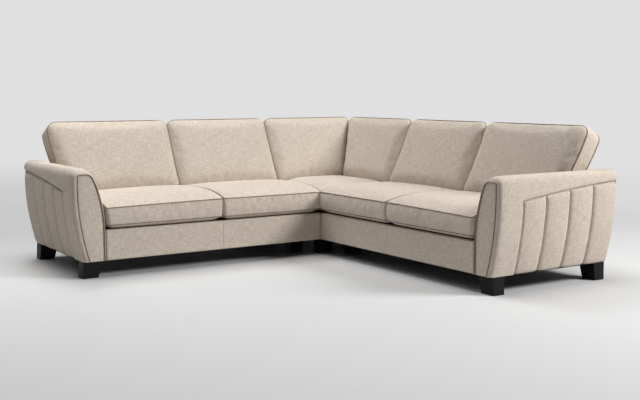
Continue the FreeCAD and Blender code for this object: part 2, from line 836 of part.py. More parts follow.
def rounded_outline(corners, rounds, bows, spot):
    """A closed wire round four corners, with rounded corners and bowed sides.

    A bow is how far a side's middle stands outwards; spot turns a flat point into a place.
    """
    count = len(corners)
    leave = []
    arrive = []
    middles = []
    for i, corner in enumerate(corners):
        before = (corners[i - 1] - corner).normalize()
        after = (corners[(i + 1) % count] - corner).normalize()
        half = before.getAngle(after) / 2
        step = rounds[i] / math.tan(half)
        arrive.append(corner + before * step)
        leave.append(corner + after * step)
        middles.append(corner + (before + after).normalize() * (rounds[i] / math.sin(half) - rounds[i]))
    edges = []
    for i in range(count):
        start = leave[i]
        end = arrive[(i + 1) % count]
        along = (end - start).normalize()
        crest = (start + end) * 0.5 + FreeCAD.Vector(along.y, -along.x, 0) * bows[i]
        edges.append(Part.Arc(spot(start), spot(crest), spot(end)).toShape())
        turn = (i + 1) % count
        edges.append(Part.Arc(spot(end), spot(middles[turn]), spot(leave[turn])).toShape())
    return Part.Wire(edges)


def drawn_in(corners, inset):
    """Move every side of an anticlockwise outline inwards."""
    count = len(corners)
    moved = []
    for i, corner in enumerate(corners):
        before = (corner - corners[i - 1]).normalize()
        after = (corners[(i + 1) % count] - corner).normalize()
        half = (-before).getAngle(after) / 2
        inward = (after - before).normalize()
        moved.append(corner + inward * (inset / math.sin(half)))
    return moved


def crown_levels():
    """Depth and inset of each outline of a back cushion, from its rear to its crowned face."""
    thick = size("back_thick")
    levels = [(thick, 0), (thick / 2, size("back_draw")), (0, 0)]
    for share in CROWN_REACH_SHARES:
        swell = math.sqrt(1 - (1 - share) ** 2)
        levels.append((-size("back_crown") * swell, size("back_crown_reach") * share))
    return levels


def back_cushion(name, corners_at, bows):
    """A boxed cushion: straight border with drawn-in sides, and a crowned face."""
    corner = size(CORNER)
    lean = math.radians(size("recline"))
    front = size(BACK_FRONT)
    low = size("back_low")
    rounds = [size("back_low_round")] * 2 + [size("back_top_round")] * 2

    wires = []
    for deep, inset in crown_levels():
        def spot(point, deep=deep):
            depth = front + point.y * math.sin(lean) + deep * math.cos(lean)
            height = low + point.y * math.cos(lean) - deep * math.sin(lean)
            return FreeCAD.Vector(corner + point.x, corner + depth, height)

        wires.append(rounded_outline(drawn_in(corners_at(deep), inset), rounds, bows, spot))
    item = doc.addObject("Part::Feature", name + "_blank")
    item.Shape = Part.makeLoft(wires, True, True)
    return item


def back_cushions():
    """Three cushions on each wing; the third meets its mirror image on the diagonal."""
    lean = math.radians(size("recline"))
    high = size("back_height")
    joint = size("back_first_joint")
    shift = size("back_joint_shift")
    half_gap = size("cushion_gap") / 2
    draw = size("back_draw")
    end_low = -size("seat_run - back_end_clear")
    end_high = -size("seat_run + back_end_spread")

    def square(left_low, left_high, right):
        corners = [FreeCAD.Vector(left_low, 0, 0), FreeCAD.Vector(right, 0, 0),
                   FreeCAD.Vector(right, high, 0), FreeCAD.Vector(left_high, high, 0)]
        return lambda deep: corners

    def mitred(left):
        def corners_at(deep):
            near = size(BACK_FRONT) + deep * math.cos(lean) - half_gap * math.sqrt(2)
            return [FreeCAD.Vector(left, 0, 0), FreeCAD.Vector(near, 0, 0),
                    FreeCAD.Vector(near + high * math.sin(lean), high, 0), FreeCAD.Vector(left, high, 0)]
        return corners_at

    top = size("back_top_bow")
    even = (-draw, -draw, top, -draw)
    cushions = (
        ("end", square(end_low, end_high, -joint - half_gap), (-draw, -draw, top, size("back_end_bow")),
         ("-seat_run + core_set", "seat_run - back_first_joint - 2 * core_set")),
        ("middle", square(-joint + half_gap, -joint + half_gap, shift - half_gap), even,
         ("-back_first_joint + core_set", "back_first_joint + back_joint_shift - 2 * core_set")),
        ("corner", mitred(shift + half_gap), even,
         ("back_joint_shift + core_set", BACK_FRONT + " - back_joint_shift - core_set")),
    )
    cores = []
    for name, corners_at, bows, run in cushions:
        core = leaning_block(name + "_back_core", run, ("core_set", "back_height - 2 * core_set"),
                             ("core_set", "back_thick - 2 * core_set"))
        blank = back_cushion(name + "_back", corners_at, bows)
        keep_pair("%s_back_cushion" % name, cut("left_%s_back_cushion" % name, blank, core))
        cores += [core, mirrored(name + "_back_core_mirrored", core)]
    keep("back_cushion_cores", group("back_cushion_cores", cores))


# Seat cushions

def seat_section(x, inset, face, swell, top_seam, crown):
    """A cut through a seat cushion from front to rear, at a place along it."""
    corner = size(CORNER)
    front = face + inset
    rear = size(SEAT_REAR) - inset
    base = size("deck_top + cushion_lift") + inset
    low_seam = size("seat_low_seam") + inset
    reach = size("seat_crown_reach")
    rise = reach * SEAT_RISE_SHARE ** 2

    def spot(depth, height):
        return FreeCAD.Vector(corner + x, corner + depth, height)

    points = {
        "rear_base": spot(rear, base),
        "curve": spot(front + size("seat_low_reach"), base),
        "curl": spot(front + size("seat_low_reach") * LOW_CURVE_SHARES[0],
                     base + (low_seam - base) * LOW_CURVE_SHARES[1]),
        "low": spot(front, low_seam),
        "face": spot(front - swell, (low_seam + top_seam) / 2),
        "top": spot(front, top_seam),
        "shoulder": spot(front + rise, top_seam + (crown - top_seam) * SEAT_RISE_SHARE + swell / 4),
        "crown": spot(front + reach, crown),
        "rear_rise": spot((front + reach + rear) / 2, crown),
        "rear_top": spot(rear, crown - size("seat_rear_drop")),
    }
    return Part.Wire([
        Part.LineSegment(points["rear_base"], points["curve"]).toShape(),
        Part.Arc(points["curve"], points["curl"], points["low"]).toShape(),
        Part.Arc(points["low"], points["face"], points["top"]).toShape(),
        Part.Arc(points["top"], points["shoulder"], points["crown"]).toShape(),
        Part.Arc(points["crown"], points["rear_rise"], points["rear_top"]).toShape(),
        Part.LineSegment(points["rear_top"], points["rear_base"]).toShape(),
    ])


def wing_seat(name, left, right):
    """A loose seat cushion, crowned from front to rear and drawn in at its two ends."""
    reach = size("seat_end_reach")
    draw = size("seat_end_draw")
    seam = size("seat_top_seam")
    side = size("seat_side_crown")
    crown = size("seat_crown")
    middle = (left + right) / 2
    ends = ((0, draw), (reach / 4, draw / 2), (reach, 0))
    stations = [(left + step, inset, side) for step, inset in ends]
    stations.append(((left + middle) / 2, 0, (side + 2 * crown) / 3))
    stations.append((middle, 0, crown))
    stations.append(((right + middle) / 2, 0, (side + 2 * crown) / 3))
    stations += [(right - step, inset, side) for step, inset in reversed(ends)]
    front = -size("seat_front")
    swell = size("seat_face_swell")
    wires = [seat_section(x, inset, front, swell, seam, top) for x, inset, top in stations]
    item = doc.addObject("Part::Feature", name)
    item.Shape = Part.makeLoft(wires, True, True)
    return item


def corner_seat(name):
    """The square seat cushion, whose edges by its two neighbours rise with theirs."""
    gap = size("cushion_gap") / 2
    reach = size("seat_crown_reach")
    rear = size(SEAT_REAR)
    side = size("seat_side_crown")
    seam = size("seat_top_seam")
    crown = size("seat_crown")
    wires = []
    for share in CORNER_STATION_SHARES:
        x = gap + (rear - gap) * share
        rise = min(1, (x - gap) / reach)
        edge = seam + (side - seam) * (1 - (1 - rise) ** 2)
        top = side + (crown - side) * math.sin(math.pi * share)
        wires.append(seat_section(x, 0, gap, gap / 2, edge, top))
    item = doc.addObject("Part::Feature", name)
    item.Shape = Part.makeLoft(wires, True, True)
    return item


def seat_core(name, x, y):
    height = ("seat_core_low", "seat_core_high - seat_core_low")
    return block(name, x, y, height)


def seat_cushions():
    gap = size("cushion_gap")
    joint = size("seat_joint")
    deep = ("seat_core_set", SEAT_REAR + " - 2 * seat_core_set")
    far = wing_seat("end_seat_blank", -size("seat_run") + gap, -joint - gap / 2)
    along = ("-seat_run + seat_core_set", "seat_run - seat_joint - 2 * seat_core_set")
    core = seat_core("left_end_seat_core", along, deep)
    keep_pair("end_seat_cover", cut("left_end_seat_cover", far, core))
    keep_pair("end_seat_core", core)
    near = wing_seat("inner_seat_blank", -joint + gap / 2, -gap / 2)
    along = ("-seat_joint + seat_core_set", "seat_joint - 2 * seat_core_set")
    core = seat_core("left_inner_seat_core", along, deep)
    keep_pair("inner_seat_cover", cut("left_inner_seat_cover", near, core))
    keep_pair("inner_seat_core", core)
    core = seat_core("corner_seat_core", deep, deep)
    keep("corner_seat_cover", cut("corner_seat_cover", corner_seat("corner_seat_blank"), core))
    keep("corner_seat_core", core)


# Feet and fixings

FOOT_HALF = "(foot_width - foot_splay - foot_rake) / 2"


def foot(name, x, y):
    """A tapered block foot under a bolt at x, y; its raked side faces the inner corner."""
    item = doc.addObject("Part::Wedge", name)
    bind(item, {
        "Xmin": "0", "Xmax": "foot_width", "Zmin": "0", "Zmax": "foot_depth",
        "Ymin": "0", "Ymax": "underside - dust_cloth",
        "X2min": "-foot_rake", "X2max": "foot_width - foot_splay",
        "Z2min": "-foot_flare", "Z2max": "foot_depth + foot_flare",
    })
    item.Placement.Rotation = FreeCAD.Rotation(FreeCAD.Vector(0, 1, 1), 180)
    return place(item, "%s + %s" % (x, FOOT_HALF), "%s - foot_depth / 2" % y)


def bolt(name, x, y, play, extra):
    item = doc.addObject("Part::Cylinder", name)
    bind(item, {"Radius": "bolt / 2 + %s" % play, "Height": "bolt_length + %s" % extra})
    return place(item, x, y, "underside + timber - bolt_length")


def foot_block(name, x, y):
    return block(name, (x, "foot_block"), (y, "foot_block"), ("underside", "timber"))


def feet():
    """Twelve feet, their bolts, and the blocks that take the bolts away from the arms."""
    rear = BACK_RAIL_FRONT + " - foot_block"
    wing_blocks = (("-timber - foot_block", "border_thick + timber + foot_block"),
                   ("-plywood - foot_block", rear))
    corner_blocks = (("timber", "timber"), (rear, rear))
    side_block = ("plywood", rear)

    def middle(spot):
        return tuple("%s + foot_block / 2" % text for text in spot)

    arm_x = "-seat_run - foot_outer + foot_width / 2 + (foot_rake + foot_splay) / 2"
    wing_feet = [(arm_x, "foot_set + foot_depth / 2"), (arm_x, "unit_depth - foot_set - foot_depth / 2")]
    paired = wing_feet + [middle(spot) for spot in wing_blocks] + [middle(side_block)]
    single = [middle(spot) for spot in corner_blocks]

    feet_all = []
    bolts = []
    holes = []
    for i, (x, y) in enumerate(paired + single):
        made = (foot("foot_%d" % i, x, y), bolt("bolt_%d" % i, x, y, "0", "0"),
                bolt("hole_%d" % i, x, y, "bolt_play", "overrun"))
        for members, item in zip((feet_all, bolts, holes), made):
            members.append(item)
            if i < len(paired):
                members.append(mirrored(item.Name + "_mirrored", item))
    bores = group("bolt_holes", holes)
    keep("feet", cut("feet", group("foot_blanks", feet_all), bores))
    keep("foot_bolts", group("foot_bolts", bolts))
    places = wing_blocks + (side_block,)
    blocks = [foot_block("wing_foot_block_%d" % i, *spot) for i, spot in enumerate(places)]
    blocks += [mirrored(item.Name + "_mirrored", item) for item in list(blocks)]
    blocks += [foot_block("corner_foot_block_%d" % i, *spot) for i, spot in enumerate(corner_blocks)]
    keep("foot_blocks", cut("foot_blocks", group("foot_block_blanks", blocks), bores))
    return bores


def dust_covers(bores):
    """Black cloth under each unit, between the frame and the feet."""
    sheet_height = ("underside - dust_cloth", "dust_cloth")
    wing = block("wing_dust_cover", ("-seat_run - arm_foot_width + dust_margin",
                                     "seat_run + arm_foot_width - dust_margin"),
                 ("dust_margin", "unit_depth - 2 * dust_margin"), sheet_height)
    keep_pair("dust_cover", cut("left_dust_cover", wing, bores))
    square = ("0", "unit_depth - dust_margin")
    corner = block("corner_dust_blank", square, square, sheet_height)
    keep("corner_dust_cover", cut("corner_dust_cover", corner, bores))


def joining_plates():
    """Steel plates under the joints of the three units."""
    plates = []
    for name, start in (("front", "plate_front"), ("rear", "unit_depth - plate_rear_set")):
        plate = block("plate_" + name, ("-plate_length / 2", "plate_length"), (start, "plate_width"),
                      ("underside - dust_cloth - plate_thick", "plate_thick"))
        plates += [plate, mirrored("plate_%s_mirrored" % name, plate)]
    keep("joining_plates", group("joining_plates", plates))


def check_and_write():
    doc.recompute()
    for item in doc.Objects:
        if "Invalid" in item.State or "Error" in item.State:
            raise RuntimeError("%s failed" % item.Name)
    for name, item in nodes.items():
        if item.Shape.isNull() or not item.Shape.isValid() or not item.Shape.Solids:
            raise RuntimeError("%s has no good solid" % name)
    os.makedirs("parts", exist_ok=True)
    for name, item in nodes.items():
        item.Shape.exportStep("parts/%s.step" % name)
        print("%-26s %3d solids %10.0f cm3" % (name, len(item.Shape.Solids), item.Shape.Volume / 1000))
    print("%d nodes" % len(nodes))


seat_rails()
cross_rails()
corner_seat_rails()
base_border()
decks()
springs()
arm_body = arms()
bores = feet()
arm_frame(bores)
wing_back(arm_body)
corner_back()
back_webbing()
back_cushions()
seat_cushions()
dust_covers(bores)
joining_plates()
check_and_write()
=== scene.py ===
import json
import math

import bmesh
import bpy
import numpy as np
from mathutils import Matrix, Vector, noise

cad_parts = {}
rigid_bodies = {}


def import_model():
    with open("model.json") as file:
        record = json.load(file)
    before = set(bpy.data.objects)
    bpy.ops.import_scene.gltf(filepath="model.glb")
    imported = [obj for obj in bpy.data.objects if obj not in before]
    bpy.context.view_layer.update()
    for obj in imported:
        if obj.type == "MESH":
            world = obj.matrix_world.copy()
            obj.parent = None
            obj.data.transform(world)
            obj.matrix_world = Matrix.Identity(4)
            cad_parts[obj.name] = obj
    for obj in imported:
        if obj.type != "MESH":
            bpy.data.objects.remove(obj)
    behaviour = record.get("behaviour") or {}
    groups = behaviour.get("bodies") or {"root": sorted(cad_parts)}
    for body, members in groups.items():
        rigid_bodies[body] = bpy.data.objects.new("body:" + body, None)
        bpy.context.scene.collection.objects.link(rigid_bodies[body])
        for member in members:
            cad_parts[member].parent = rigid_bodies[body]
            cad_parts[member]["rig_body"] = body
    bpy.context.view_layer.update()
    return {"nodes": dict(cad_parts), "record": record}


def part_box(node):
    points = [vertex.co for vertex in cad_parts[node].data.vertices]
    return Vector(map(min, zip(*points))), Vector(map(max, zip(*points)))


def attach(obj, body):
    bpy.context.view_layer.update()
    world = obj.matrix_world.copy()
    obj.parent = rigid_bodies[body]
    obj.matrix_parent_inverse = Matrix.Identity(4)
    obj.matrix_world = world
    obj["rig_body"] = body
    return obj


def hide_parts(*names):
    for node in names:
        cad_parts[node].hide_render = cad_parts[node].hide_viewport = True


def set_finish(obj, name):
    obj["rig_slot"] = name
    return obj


# Corner sofa: the upholstery, piping, materials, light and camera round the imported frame.
# Lengths are in metres. A wing's places are counted from the inner corner of the seats:
# out towards the arm, deep towards the back, and up. The right wing mirrors the left one.

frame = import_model()

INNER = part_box("left_base_border")[1].x
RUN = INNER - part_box("left_base_border")[0].x
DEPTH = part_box("left_outside_back")[1].y - INNER
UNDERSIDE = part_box("left_base_border")[0].z
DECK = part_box("left_base_border")[1].z
ARM_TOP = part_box("left_arm_top_pad")[1].z
ARM_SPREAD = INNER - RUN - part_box("left_arm_top_pad")[0].x
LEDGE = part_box("left_back_ledge")[1].z
LEDGE_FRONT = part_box("left_back_ledge")[0].y - INNER
SEAT_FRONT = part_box("left_inner_seat_cover")[0].y - INNER
SEAT_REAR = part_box("left_inner_seat_cover")[1].y - INNER
SEAT_JOINT = 0.764

# Radius of the piping, the sides of its section and the length of its steps
CORD = 0.0036
CORD_SIDES = 8
CORD_STEP = 0.012

SIDES = ("left", "right")


def wing_spot(side, out, deep, up):
    """A place on a wing in the frame's own coordinates."""
    if side == "left":
        return Vector((INNER - out, INNER + deep, up))
    return Vector((INNER + deep, INNER - out, up))


def wing_way(side, out, deep):
    """A direction on a wing in the frame's own coordinates."""
    return wing_spot(side, out, deep, 0) - wing_spot(side, 0, 0, 0)


# Steps and rounds

def even(count):
    """Even shares from 0 to 1."""
    return [n / count for n in range(count + 1)]


def eased(share, crowding=0.45):
    """Crowd steps towards both ends of a side."""
    return (1 - crowding) * share + crowding * (0.5 - 0.5 * math.cos(math.pi * share))


def quarter_turns(count):
    """Angles in even steps from just over 0 up to a right angle."""
    return [math.pi / 2 * n / count for n in range(1, count + 1)]


def round_rise(share):
    """Rise of a rounded edge: from 0 at the edge to 1 where the round ends."""
    inward = min(1, max(0, share))
    return math.sqrt(1 - (1 - inward) ** 2)


# Meshes

def make_object(name, points, faces, corners, material, body, outward):
    """A smooth mesh with a flat cloth layout, riding on a body."""
    mesh = bpy.data.meshes.new(name)
    mesh.from_pydata([tuple(p) for p in points], [], faces)
    layout = mesh.uv_layers.new(name="cloth")
    flat = [value for face in corners for corner in face for value in corner]
    layout.data.foreach_set("uv", flat)
    mesh.polygons.foreach_set("use_smooth", [True] * len(faces))
    turn_outward(mesh, outward)
    mesh.materials.append(material)
    item = bpy.data.objects.new(name, mesh)
    bpy.context.scene.collection.objects.link(item)
    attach(item, body)
    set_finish(item, "beige_linen")
    return item


def turn_outward(mesh, outward):
    """Turn the faces of a closed mesh to its outside, or those of a sheet along a direction."""
    work = bmesh.new()
    work.from_mesh(mesh)
    if outward == "closed":
        bmesh.ops.recalc_face_normals(work, faces=work.faces)
    else:
        total = sum(face.normal.dot(outward) * face.calc_area() for face in work.faces)
        if total < 0:
            bmesh.ops.reverse_faces(work, faces=work.faces)
    work.to_mesh(mesh)
    work.free()


def hang_on(item, parent):
    """Make a piece the child of the one that it is sewn to, where it is."""
    world = item.matrix_world.copy()
    item.parent = parent
    item.matrix_world = world


def soften(item):
    modifier = item.modifiers.new("Smooth", "SUBSURF")
    modifier.levels = 1
    modifier.render_levels = 1


def coordinates(mesh):
    co = np.zeros(len(mesh.vertices) * 3)
    mesh.vertices.foreach_get("co", co)
    return co.reshape(-1, 3)


def spread(values):
    """Running length along a row of points."""
    total = [0.0]
    for a, b in zip(values, values[1:]):
        total.append(total[-1] + (b - a).length)
    return total


def cloth_grid(name, rows, outward, wanted=None):
    """A sheet of the sofa's linen over a grid of points, laid out by its lengths both ways."""
    across = [spread(row) for row in rows]
    count = len(rows[0])
    down = [spread([row[j] for row in rows]) for j in range(count)]
    points = [p for row in rows for p in row]
    faces = []
    corners = []
    for i in range(len(rows) - 1):
        for j in range(count - 1):
            if wanted and not wanted(i, j):
                continue
            cells = ((i, j), (i + 1, j), (i + 1, j + 1), (i, j + 1))
            faces.append([a * count + b for a, b in cells])
            corners.append([(across[a][b], down[b][a]) for a, b in cells])
    return make_object(name, points, faces, corners, linen, "sofa", outward)


def even_path(points, closed):
    """Evenly spaced points along a line of straight runs."""
    ring = list(points) + ([points[0]] if closed else [])
    length = spread(ring)
    count = max(2, int(round(length[-1] / CORD_STEP)))
    found = []
    at = 0
    for n in range(count + (0 if closed else 1)):
        want = length[-1] * n / count
        while at < len(ring) - 2 and length[at + 1] < want:
            at += 1
        span = length[at + 1] - length[at]
        share = (want - length[at]) / span if span > 0 else 0
        found.append(ring[at].lerp(ring[at + 1], share))
    return found


def cord_tube(name, points, closed, parent, radius=CORD):
    """Piping: a fabric cord along a seam, as a child of the piece that it edges."""
    path = even_path(points, closed)
    count = len(path)
    turns = [2 * math.pi * k / CORD_SIDES for k in range(CORD_SIDES)]
    points = []
    up = None
    for i, here in enumerate(path):
        ahead = path[(i + 1) % count] if closed or i < count - 1 else here
        behind = path[i - 1] if closed or i > 0 else here
        along = (ahead - behind).normalized()
        if up is None:
            up = along.orthogonal().normalized()
        up = (up - along * up.dot(along)).normalized()
        over = along.cross(up)
        points += [here + (up * math.cos(turn) + over * math.sin(turn)) * radius for turn in turns]
    flat_side = 0.8 * radius
    faces = []
    corners = []
    for i in range(count if closed else count - 1):
        this, following = i * CORD_SIDES, (i + 1) % count * CORD_SIDES
        low, high = i * CORD_STEP, (i + 1) * CORD_STEP
        for k in range(CORD_SIDES):
            beside = (k + 1) % CORD_SIDES
            left, right = k * flat_side, (k + 1) * flat_side
            faces.append([this + k, this + beside, following + beside, following + k])
            corners.append([(low, left), (low, right), (high, right), (high, left)])
    item = make_object(name, points, faces, corners, piping_cloth, parent["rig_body"], "closed")
    if not closed:
        close_ends(item.data, count)
    hang_on(item, parent)


def close_ends(mesh, count):
    """Close the two ends of an open cord of so many rings."""
    work = bmesh.new()
    work.from_mesh(mesh)
    work.verts.ensure_lookup_table()
    for start in (0, (count - 1) * CORD_SIDES):
        work.faces.new([work.verts[start + k] for k in range(CORD_SIDES)])
    bmesh.ops.recalc_face_normals(work, faces=work.faces)
    work.to_mesh(mesh)
    work.free()


def mirror_twin(item, name, body, shift):
    """The same piece on the right wing, with its weave shifted."""
    mesh = item.data.copy()
    mesh.name = name
    mesh.vertices.foreach_set("co", coordinates(mesh)[:, [1, 0, 2]].ravel())
    mesh.flip_normals()
    layout = mesh.uv_layers[0].data
    uv = np.zeros(len(layout) * 2)
    layout.foreach_get("uv", uv)
    layout.foreach_set("uv", uv + shift)
    twin = bpy.data.objects.new(name, mesh)
    bpy.context.scene.collection.objects.link(twin)
    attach(twin, body)
    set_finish(twin, item["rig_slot"])
    return twin


# Materials

class Nodes:
    """Short calls for building the nodes of a material or a world."""

    def __init__(self, owner):
        owner.use_nodes = True
        self.owner = owner
        self.tree = owner.node_tree

    def add(self, kind, inputs=None, **settings):
        node = self.tree.nodes.new("ShaderNode" + kind)
        for key, value in settings.items():
            setattr(node, key, value)
        for key, value in (inputs or {}).items():
            if isinstance(value, bpy.types.NodeSocket):
                self.tree.links.new(value, node.inputs[key])
            else:
                node.inputs[key].default_value = value
        return node

    def set(self, **values):
        for key, value in values.items():
            socket = self.tree.nodes["Principled BSDF"].inputs[key.replace("_", " ")]
            if isinstance(value, bpy.types.NodeSocket):
                self.tree.links.new(value, socket)
            else:
                socket.default_value = value

    def math(self, operation, a, b):
        return self.add("Math", {0: a, 1: b}, operation=operation).outputs[0]

    def seen(self):
        """1 for the camera's rays, reflected and refracted ones too, and 0 for rays that carry light."""
        path = self.add("LightPath").outputs
        return self.math("MAXIMUM", path["Is Camera Ray"],
                         self.math("MAXIMUM", path["Is Glossy Ray"], path["Is Transmission Ray"]))

    def blend_shaders(self, share, a, b, output):
        """Send a blend of two shaders to the tree's output node."""
        mixed = self.add("MixShader", {0: share, 1: a.outputs[0], 2: b.outputs[0]})
        self.tree.links.new(mixed.outputs[0], self.tree.nodes[output].inputs["Surface"])

    def mix(self, share, a, b, blend="MIX"):
        node = self.add("Mix", {"Factor": share}, data_type="RGBA", blend_type=blend)
        for socket, value in ((node.inputs[6], a), (node.inputs[7], b)):
            if isinstance(value, bpy.types.NodeSocket):
                self.tree.links.new(value, socket)
            else:
                socket.default_value = value
        return node.outputs[2]

    def stretched_noise(self, where, stretch, scale, detail=2.0, roughness=0.5):
        spot = self.add("Mapping", {"Vector": where, "Scale": stretch})
        node = self.add("TexNoise", {"Vector": spot.outputs[0], "Scale": scale, "Detail": detail,
                                     "Roughness": roughness})
        return node.outputs[0]

    def ramp(self, value, *stops):
        node = self.add("ValToRGB", {"Fac": value})
        ramp = node.color_ramp
        while len(ramp.elements) < len(stops):
            ramp.elements.new(0.5)
        for element, (place, color) in zip(ramp.elements, stops):
            element.position = place
            element.color = color
        return node.outputs[0]


def srgb(r, g, b):
    """An 8-bit colour as the shader's linear one."""
    shares = (r / 255, g / 255, b / 255)
    linear = [c / 12.92 if c <= 0.04045 else ((c + 0.055) / 1.055) ** 2.4 for c in shares]
    return (*linear, 1)


def woven(name, dark, middle, light, thread=0.0011, laid=True):
    """A plain weave of uneven threads: slubs and fine threads both ways, with thread relief.

    Laid cloth follows the piece's own flat layout, other cloth the object's coordinates.
    """
    slub = 0.020
    n = Nodes(bpy.data.materials.new(name))
    flat = n.add("UVMap", uv_map="cloth").outputs[0] if laid else n.add("TexCoord").outputs["Object"]
    warp = n.stretched_noise(flat, (1, 0.1, 1), 4.2 / slub, 2)
    weft = n.stretched_noise(flat, (0.1, 1, 1), 4.2 / slub, 2)
    fine_warp = n.stretched_noise(flat, (1, 0.12, 1), 0.9 / thread, 1)
    fine_weft = n.stretched_noise(flat, (0.12, 1, 1), 0.9 / thread, 1)
    broad = n.stretched_noise(flat, (1, 1, 1), 6, 3)
    slubs = n.math("ADD", n.math("MULTIPLY", warp, 0.5), n.math("MULTIPLY", weft, 0.5))
    threads = n.math("ADD", n.math("MULTIPLY", fine_warp, 0.5), n.math("MULTIPLY", fine_weft, 0.5))
    mottled = n.math("ADD", n.math("MULTIPLY", slubs, 0.7), n.math("MULTIPLY", threads, 0.3))
    base = n.ramp(mottled, (0.38, dark), (0.5, middle), (0.62, light))
    tint = n.ramp(broad, (0.3, (0.95, 0.945, 0.94, 1)), (0.7, (1.0, 1.0, 1.0, 1)))
    height = n.math("ADD", threads, n.math("MULTIPLY", slubs, 0.7))
    bump = n.add("Bump", {"Height": height, "Strength": 0.4, "Distance": 0.0014})
    n.set(Base_Color=n.mix(1.0, base, tint, "MULTIPLY"), Normal=bump.outputs[0], Roughness=0.92,
          Sheen_Weight=0.12, Sheen_Roughness=0.5, Specular_IOR_Level=0.15)
    return n.owner


def plain_solid(name, color, rough, scale, grain=(1, 1, 1), depth=0.12, metallic=0.0):
    """A rigid material with streaks along one way, laid out by the object's own coordinates."""
    n = Nodes(bpy.data.materials.new(name))
    where = n.add("TexCoord").outputs["Object"]
    streak = n.stretched_noise(where, grain, scale, 4, 0.6)
    shade = n.ramp(streak, (0.3, tuple(c * (1 - depth) for c in color[:3]) + (1,)),
                   (0.7, tuple(min(1, c * (1 + depth)) for c in color[:3]) + (1,)))
    wear = n.ramp(streak, (0.35, (rough * 0.85,) * 3 + (1,)), (0.65, (min(1, rough * 1.15),) * 3 + (1,)))
    bump = n.add("Bump", {"Height": streak, "Strength": 0.2, "Distance": 0.0008})
    n.set(Base_Color=shade, Roughness=wear, Normal=bump.outputs[0], Metallic=metallic)
    return n.owner


def stained_wood(name):
    """Satin black stain over close grain, a little worn along the edges."""
    n = Nodes(bpy.data.materials.new(name))
    where = n.add("TexCoord").outputs["Object"]
    grain = n.stretched_noise(where, (1, 1, 0.08), 260, 4, 0.6)
    edge = n.add("Bevel", {"Radius": 0.0025}, samples=4)
    flat = n.add("NewGeometry").outputs["Normal"]
    turned = n.add("VectorMath", {0: edge.outputs[0], 1: flat}, operation="DOT_PRODUCT").outputs["Value"]
    rubbed = n.ramp(turned, (0.90, (0.016, 0.015, 0.014, 1)), (0.995, (0.006, 0.0055, 0.0055, 1)))
    stain = n.ramp(grain, (0.3, (0.004, 0.004, 0.004, 1)), (0.7, (0.009, 0.0085, 0.008, 1)))
    color = n.mix(0.5, rubbed, stain)
    bump = n.add("Bump", {"Height": grain, "Strength": 0.15, "Distance": 0.0004, "Normal": edge.outputs[0]})
    n.set(Base_Color=color, Roughness=0.5, Normal=bump.outputs[0], Specular_IOR_Level=0.15)
    return n.owner


linen = woven("beige_linen", srgb(186, 172, 156), srgb(206, 194, 180), srgb(222, 212, 200))
piping_cloth = woven("piping_cloth", srgb(112, 98, 84), srgb(146, 130, 114), srgb(172, 158, 142))
lining_cloth = woven("lining_cloth", srgb(12, 12, 12), srgb(24, 24, 24), srgb(38, 38, 38), laid=False)
webbing_cloth = woven("webbing_cloth", srgb(40, 34, 30), srgb(66, 58, 50), srgb(140, 120, 90), thread=0.002,
                      laid=False)
foam = plain_solid("foam_core", (0.82, 0.76, 0.55), 0.95, 400, depth=0.06)
timber = plain_solid("frame_timber", (0.62, 0.45, 0.27), 0.7, 60, grain=(0.1, 1, 1), depth=0.25)
steel = plain_solid("spring_steel", (0.42, 0.42, 0.43), 0.32, 300, metallic=1.0)
black_wood = stained_wood("black_wood")

SLOT_MATERIALS = {
    "beige_linen": linen, "foam_core": foam, "frame_timber": timber, "lining_cloth": lining_cloth,
    "webbing": webbing_cloth, "spring_steel": steel, "black_wood": black_wood,
}


def dress_nodes():
    """Give each CAD node that stays in view the material of its slot."""
    for part in frame["record"]["subparts"]:
        mesh = frame["nodes"][part["node"]].data
        mesh.materials.clear()
        mesh.materials.append(SLOT_MATERIALS[part["material_slot"]])


# Box cushions

# Size of the shell's cells, how many more there are up the sides, and the frames of the simulation
CELL = 0.016
SIDE_CELLS = 1.3
FRAMES = 20


def box_shell(na, nb, nc):
    """The surface of a box of small cells: its points in steps, and its four-sided faces by side."""
    index = {}
    points = []

    def at(*key):
        if key not in index:
            index[key] = len(points)
            points.append(key)
        return index[key]

    faces = []
    for i in range(na):
        for j in range(nb):
            faces.append(("low", [at(i, j, 0), at(i, j + 1, 0), at(i + 1, j + 1, 0), at(i + 1, j, 0)]))
            faces.append(("high", [at(i, j, nc), at(i + 1, j, nc), at(i + 1, j + 1, nc), at(i, j + 1, nc)]))
    for k in range(nc):
        for i in range(na):
            faces.append(("near", [at(i, 0, k), at(i + 1, 0, k), at(i + 1, 0, k + 1), at(i, 0, k + 1)]))
            faces.append(("far", [at(i, nb, k), at(i, nb, k + 1), at(i + 1, nb, k + 1), at(i + 1, nb, k)]))
        for j in range(nb):
            faces.append(("left", [at(0, j, k), at(0, j, k + 1), at(0, j + 1, k + 1), at(0, j + 1, k)]))
            faces.append(("right", [at(na, j, k), at(na, j + 1, k), at(na, j + 1, k + 1), at(na, j, k + 1)]))
    return points, faces


def rounded(p, q, half_a, half_b, radii):
    """Bend a rectangle's corners round; radii are for the low and the high corners."""
    x = p * half_a
    y = q * half_b
    radius = radii[1] if q > 0 else radii[0]
    dx = (abs(x) - half_a + radius) / radius
    dy = (abs(y) - half_b + radius) / radius
    if dx > 0 and dy > 0:
        x = math.copysign(half_a - radius + radius * dx * math.sqrt(1 - dy * dy / 2), x)
        y = math.copysign(half_b - radius + radius * dy * math.sqrt(1 - dx * dx / 2), y)
    return x / half_a, y / half_b


def dome(p, q, half_a, half_b, reach, steep=0.5):
    """From 0 at a panel's edge to 1 over its middle; a steep of 0.5 rises upright beside the seam."""
    rise = 1.0
    for value, half in ((p, half_a), (q, half_b)):
        share = min(1, (1 - abs(value)) * half / reach)
        rise *= max(0, 1 - (1 - share) ** 2) ** steep
    return rise


